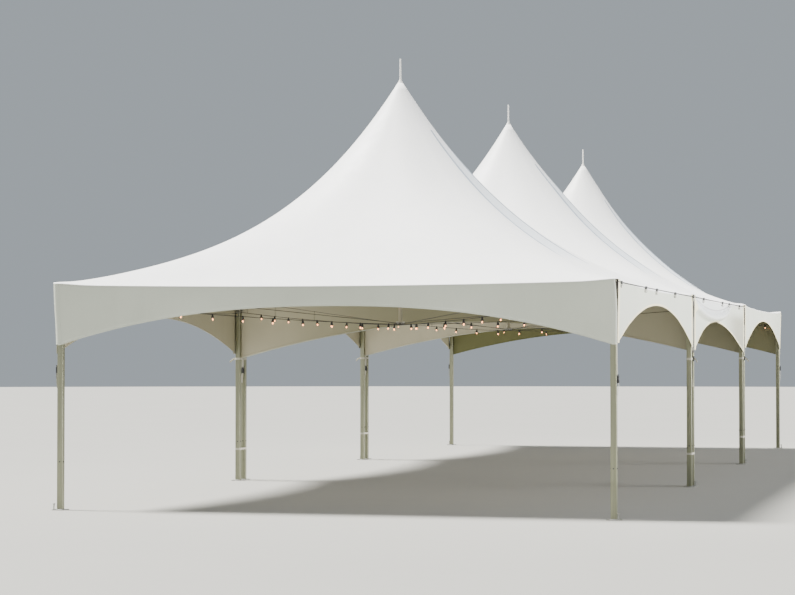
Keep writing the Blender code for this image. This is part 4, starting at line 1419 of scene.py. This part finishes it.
def makeBands():
    webs, buckles, loose = bmesh.new(), bmesh.new(), random.Random(9)
    reachX = marquee["tube"] / 2 + bandSet["clear"]
    reachY = marquee["row"] / 2 - marquee["legAxis"] + reachX
    rounding, buckle = bandSet["round"], bandSet["buckle"]
    for joint, sign in jointSides:
        for z in bandSet["at"]:
            loop = []
            for quarter, (sx, sy) in enumerate(((1, 1), (-1, 1), (-1, -1), (1, -1))):
                for step in range(4):
                    angle = quarter * rightAngle + rightAngle * step / 3
                    x = sign * marquee["legAxis"] + sx * (reachX - rounding) + rounding * math.cos(angle)
                    loop.append((x, joint + sy * (reachY - rounding) + rounding * math.sin(angle), z))
            addSweep(webs, loop, flatSection(bandSet["thickness"], bandSet["height"]), closed=True)
        z, out = bandSet["at"][0], marquee["legAxis"] + reachX
        near, far = (sign * (out + clear) for clear in buckle["out"])
        addBox(buckles, (near, joint - buckle["half"], z + buckle["low"]),
               (far, joint + buckle["half"], z + buckle["high"]), 0.004, 2)
        tail = [[sign * (out + away), joint + along, z + up] for away, along, up in bandSet["tail"]]
        tail[-1][0] += sign * loose.uniform(0, 0.03)
        addSweep(webs, tail, flatSection(bandSet["thickness"], bandSet["height"] * 0.8))
    shaped("leg_bands", webs, 40, [paleWebbing])
    shaped("band_buckles", buckles, 40, [blackPlastic])


makeBands()


# Dark flaps behind each corner's slit, and over the gap between two tents' side valances: partly webbing,
# partly painted shade for the dark inside seen through the gaps
flapSet = {"edge": 0.0392, "wide": 0.034, "low": 1.84, "top": 2.416,
           # from the eave line inwards, beyond the gap, from, to
           "joint": ((-0.0085, -0.0065, 0.026, 1.70, 2.300), (0.0008, 0.0024, 0.022, 2.296, 2.396))}


def makeFlaps():
    shape, edge, gap = bmesh.new(), flapSet["edge"], marquee["row"] / 2 - marquee["half"]
    mirror = Matrix.Scale(-1, 4, Vector((1, -1, 0)).normalized())
    for tent in tents:
        for matrix in legPlaces(tent).values():
            for spin in (Matrix(), mirror):
                addBox(shape, (-edge - 0.0005, -edge, flapSet["low"]),
                       (-edge + 0.0012, -edge + flapSet["wide"], flapSet["top"]), place=matrix @ spin)
    for joint, sign in jointSides:
        for near, far, beyond, low, high in flapSet["joint"]:
            addBox(shape, (sign * (marquee["half"] + near), joint - gap - beyond, low),
                   (sign * (marquee["half"] + far), joint + gap + beyond, high))
    shaped("corner_flaps", shape, 40, [shadeWebbing])


makeFlaps()
print("straps made")


# Cord ties: short loops that hold a light cord to the cable above it
tieSet = {"at": (2.25, 1.50, 2.82), "lap": 0.005, "half": 0.0062, "wire": 0.0014}


def makeTies():
    shape, lugZ, saddle = bmesh.new(), lugHeight(), cableSet["saddle"]
    spots = [(tent, x, y, z) for tent in ("front", "middle") for x, y, z in insideRoutes[tent]
             if abs(x) in tieSet["at"] and abs(x) == abs(y)]
    for tent, x, y, z in spots:
        height = cableSet["heights"]["from_left" if x * y > 0 else "from_right"]
        cableZ = height + (lugZ - height) * (math.hypot(x, y) - saddle) / (frameSet["lugEnd"] - saddle)
        low, high, ahead = z - tieSet["lap"], cableZ + tieSet["lap"], Vector((x, y, 0)).normalized()
        across = ahead.cross(Vector((0, 0, 1))) * tieSet["half"]
        loop = [Vector((x, y + tents[tent], (low + high) / 2 + (high - low) / 2 * math.sin(a)))
                + across * math.cos(a) for a in turns(20)]
        addSweep(shape, loop, roundSection(tieSet["wire"], 5), ahead, closed=True)
    shaped("cord_ties", shape, 60, [blackPlastic])


makeTies()
print("ties made")


# Studio: pale floor, soft sky, one broad key from above the left back, one soft fill from the right
studio = {"floor": (0.315, 0.31, 0.285), "floorRadius": 90.0,
          "sky": (0.66, 0.735, 0.80), "skyStrength": 0.56,
          "key": {"power": 17.0, "tint": (1.0, 0.985, 0.955), "spread": 16.0, "from": (-0.52, 0.02, 0.85)},
          "side": {"power": 950.0, "tint": (1.0, 0.985, 0.985), "size": (22.0, 0.8), "spread": 70.0,
                   "place": (9.4, 0.0, 3.0), "to": (0.0, 0.0, 2.2)}}


def makeStudio():
    material, tree, shader = newMaterial("pale_floor")
    base = mixed(tree, cloudy(tree, 0.25, detail=4.0), colour(studio["floor"]), colour(studio["floor"], 0.94))
    tree.links.new(base, shader.inputs["Base Color"])
    tree.links.new(ranged(tree, cloudy(tree, 2.0), 0.85, 0.95), shader.inputs["Roughness"])
    rim = [(x, y, 0.0) for x, y in roundSection(studio["floorRadius"], 64)]
    floor = linked("floor", meshOf("floor", rim, [tuple(range(64))]))
    floor.data.materials.append(material)
    world = bpy.data.worlds.new("studio sky")
    world.use_nodes = True
    background = world.node_tree.nodes["Background"]
    background.inputs["Color"].default_value = colour(studio["sky"])
    background.inputs["Strength"].default_value = studio["skyStrength"]
    bpy.context.scene.world = world
    key, side = studio["key"], studio["side"]
    data = bpy.data.lights.new("key", "SUN")
    data.energy, data.color, data.angle = key["power"], key["tint"], math.radians(key["spread"])
    lamp = linked("key", data)
    lamp.rotation_euler = Vector(key["from"]).to_track_quat("Z", "Y").to_euler()
    data = bpy.data.lights.new("side", "AREA")
    data.shape, data.spread = "RECTANGLE", math.radians(side["spread"])
    data.energy, data.color, (data.size, data.size_y) = side["power"], side["tint"], side["size"]
    lamp = linked("side", data)
    lamp.location, lamp.visible_camera = side["place"], False
    aim = (Vector(side["to"]) - Vector(side["place"])).normalized()
    lamp.rotation_euler = Matrix(((0, aim.z, -aim.x), (1, 0, 0), (0, -aim.x, -aim.z))).to_euler()


makeStudio()
print("studio set")
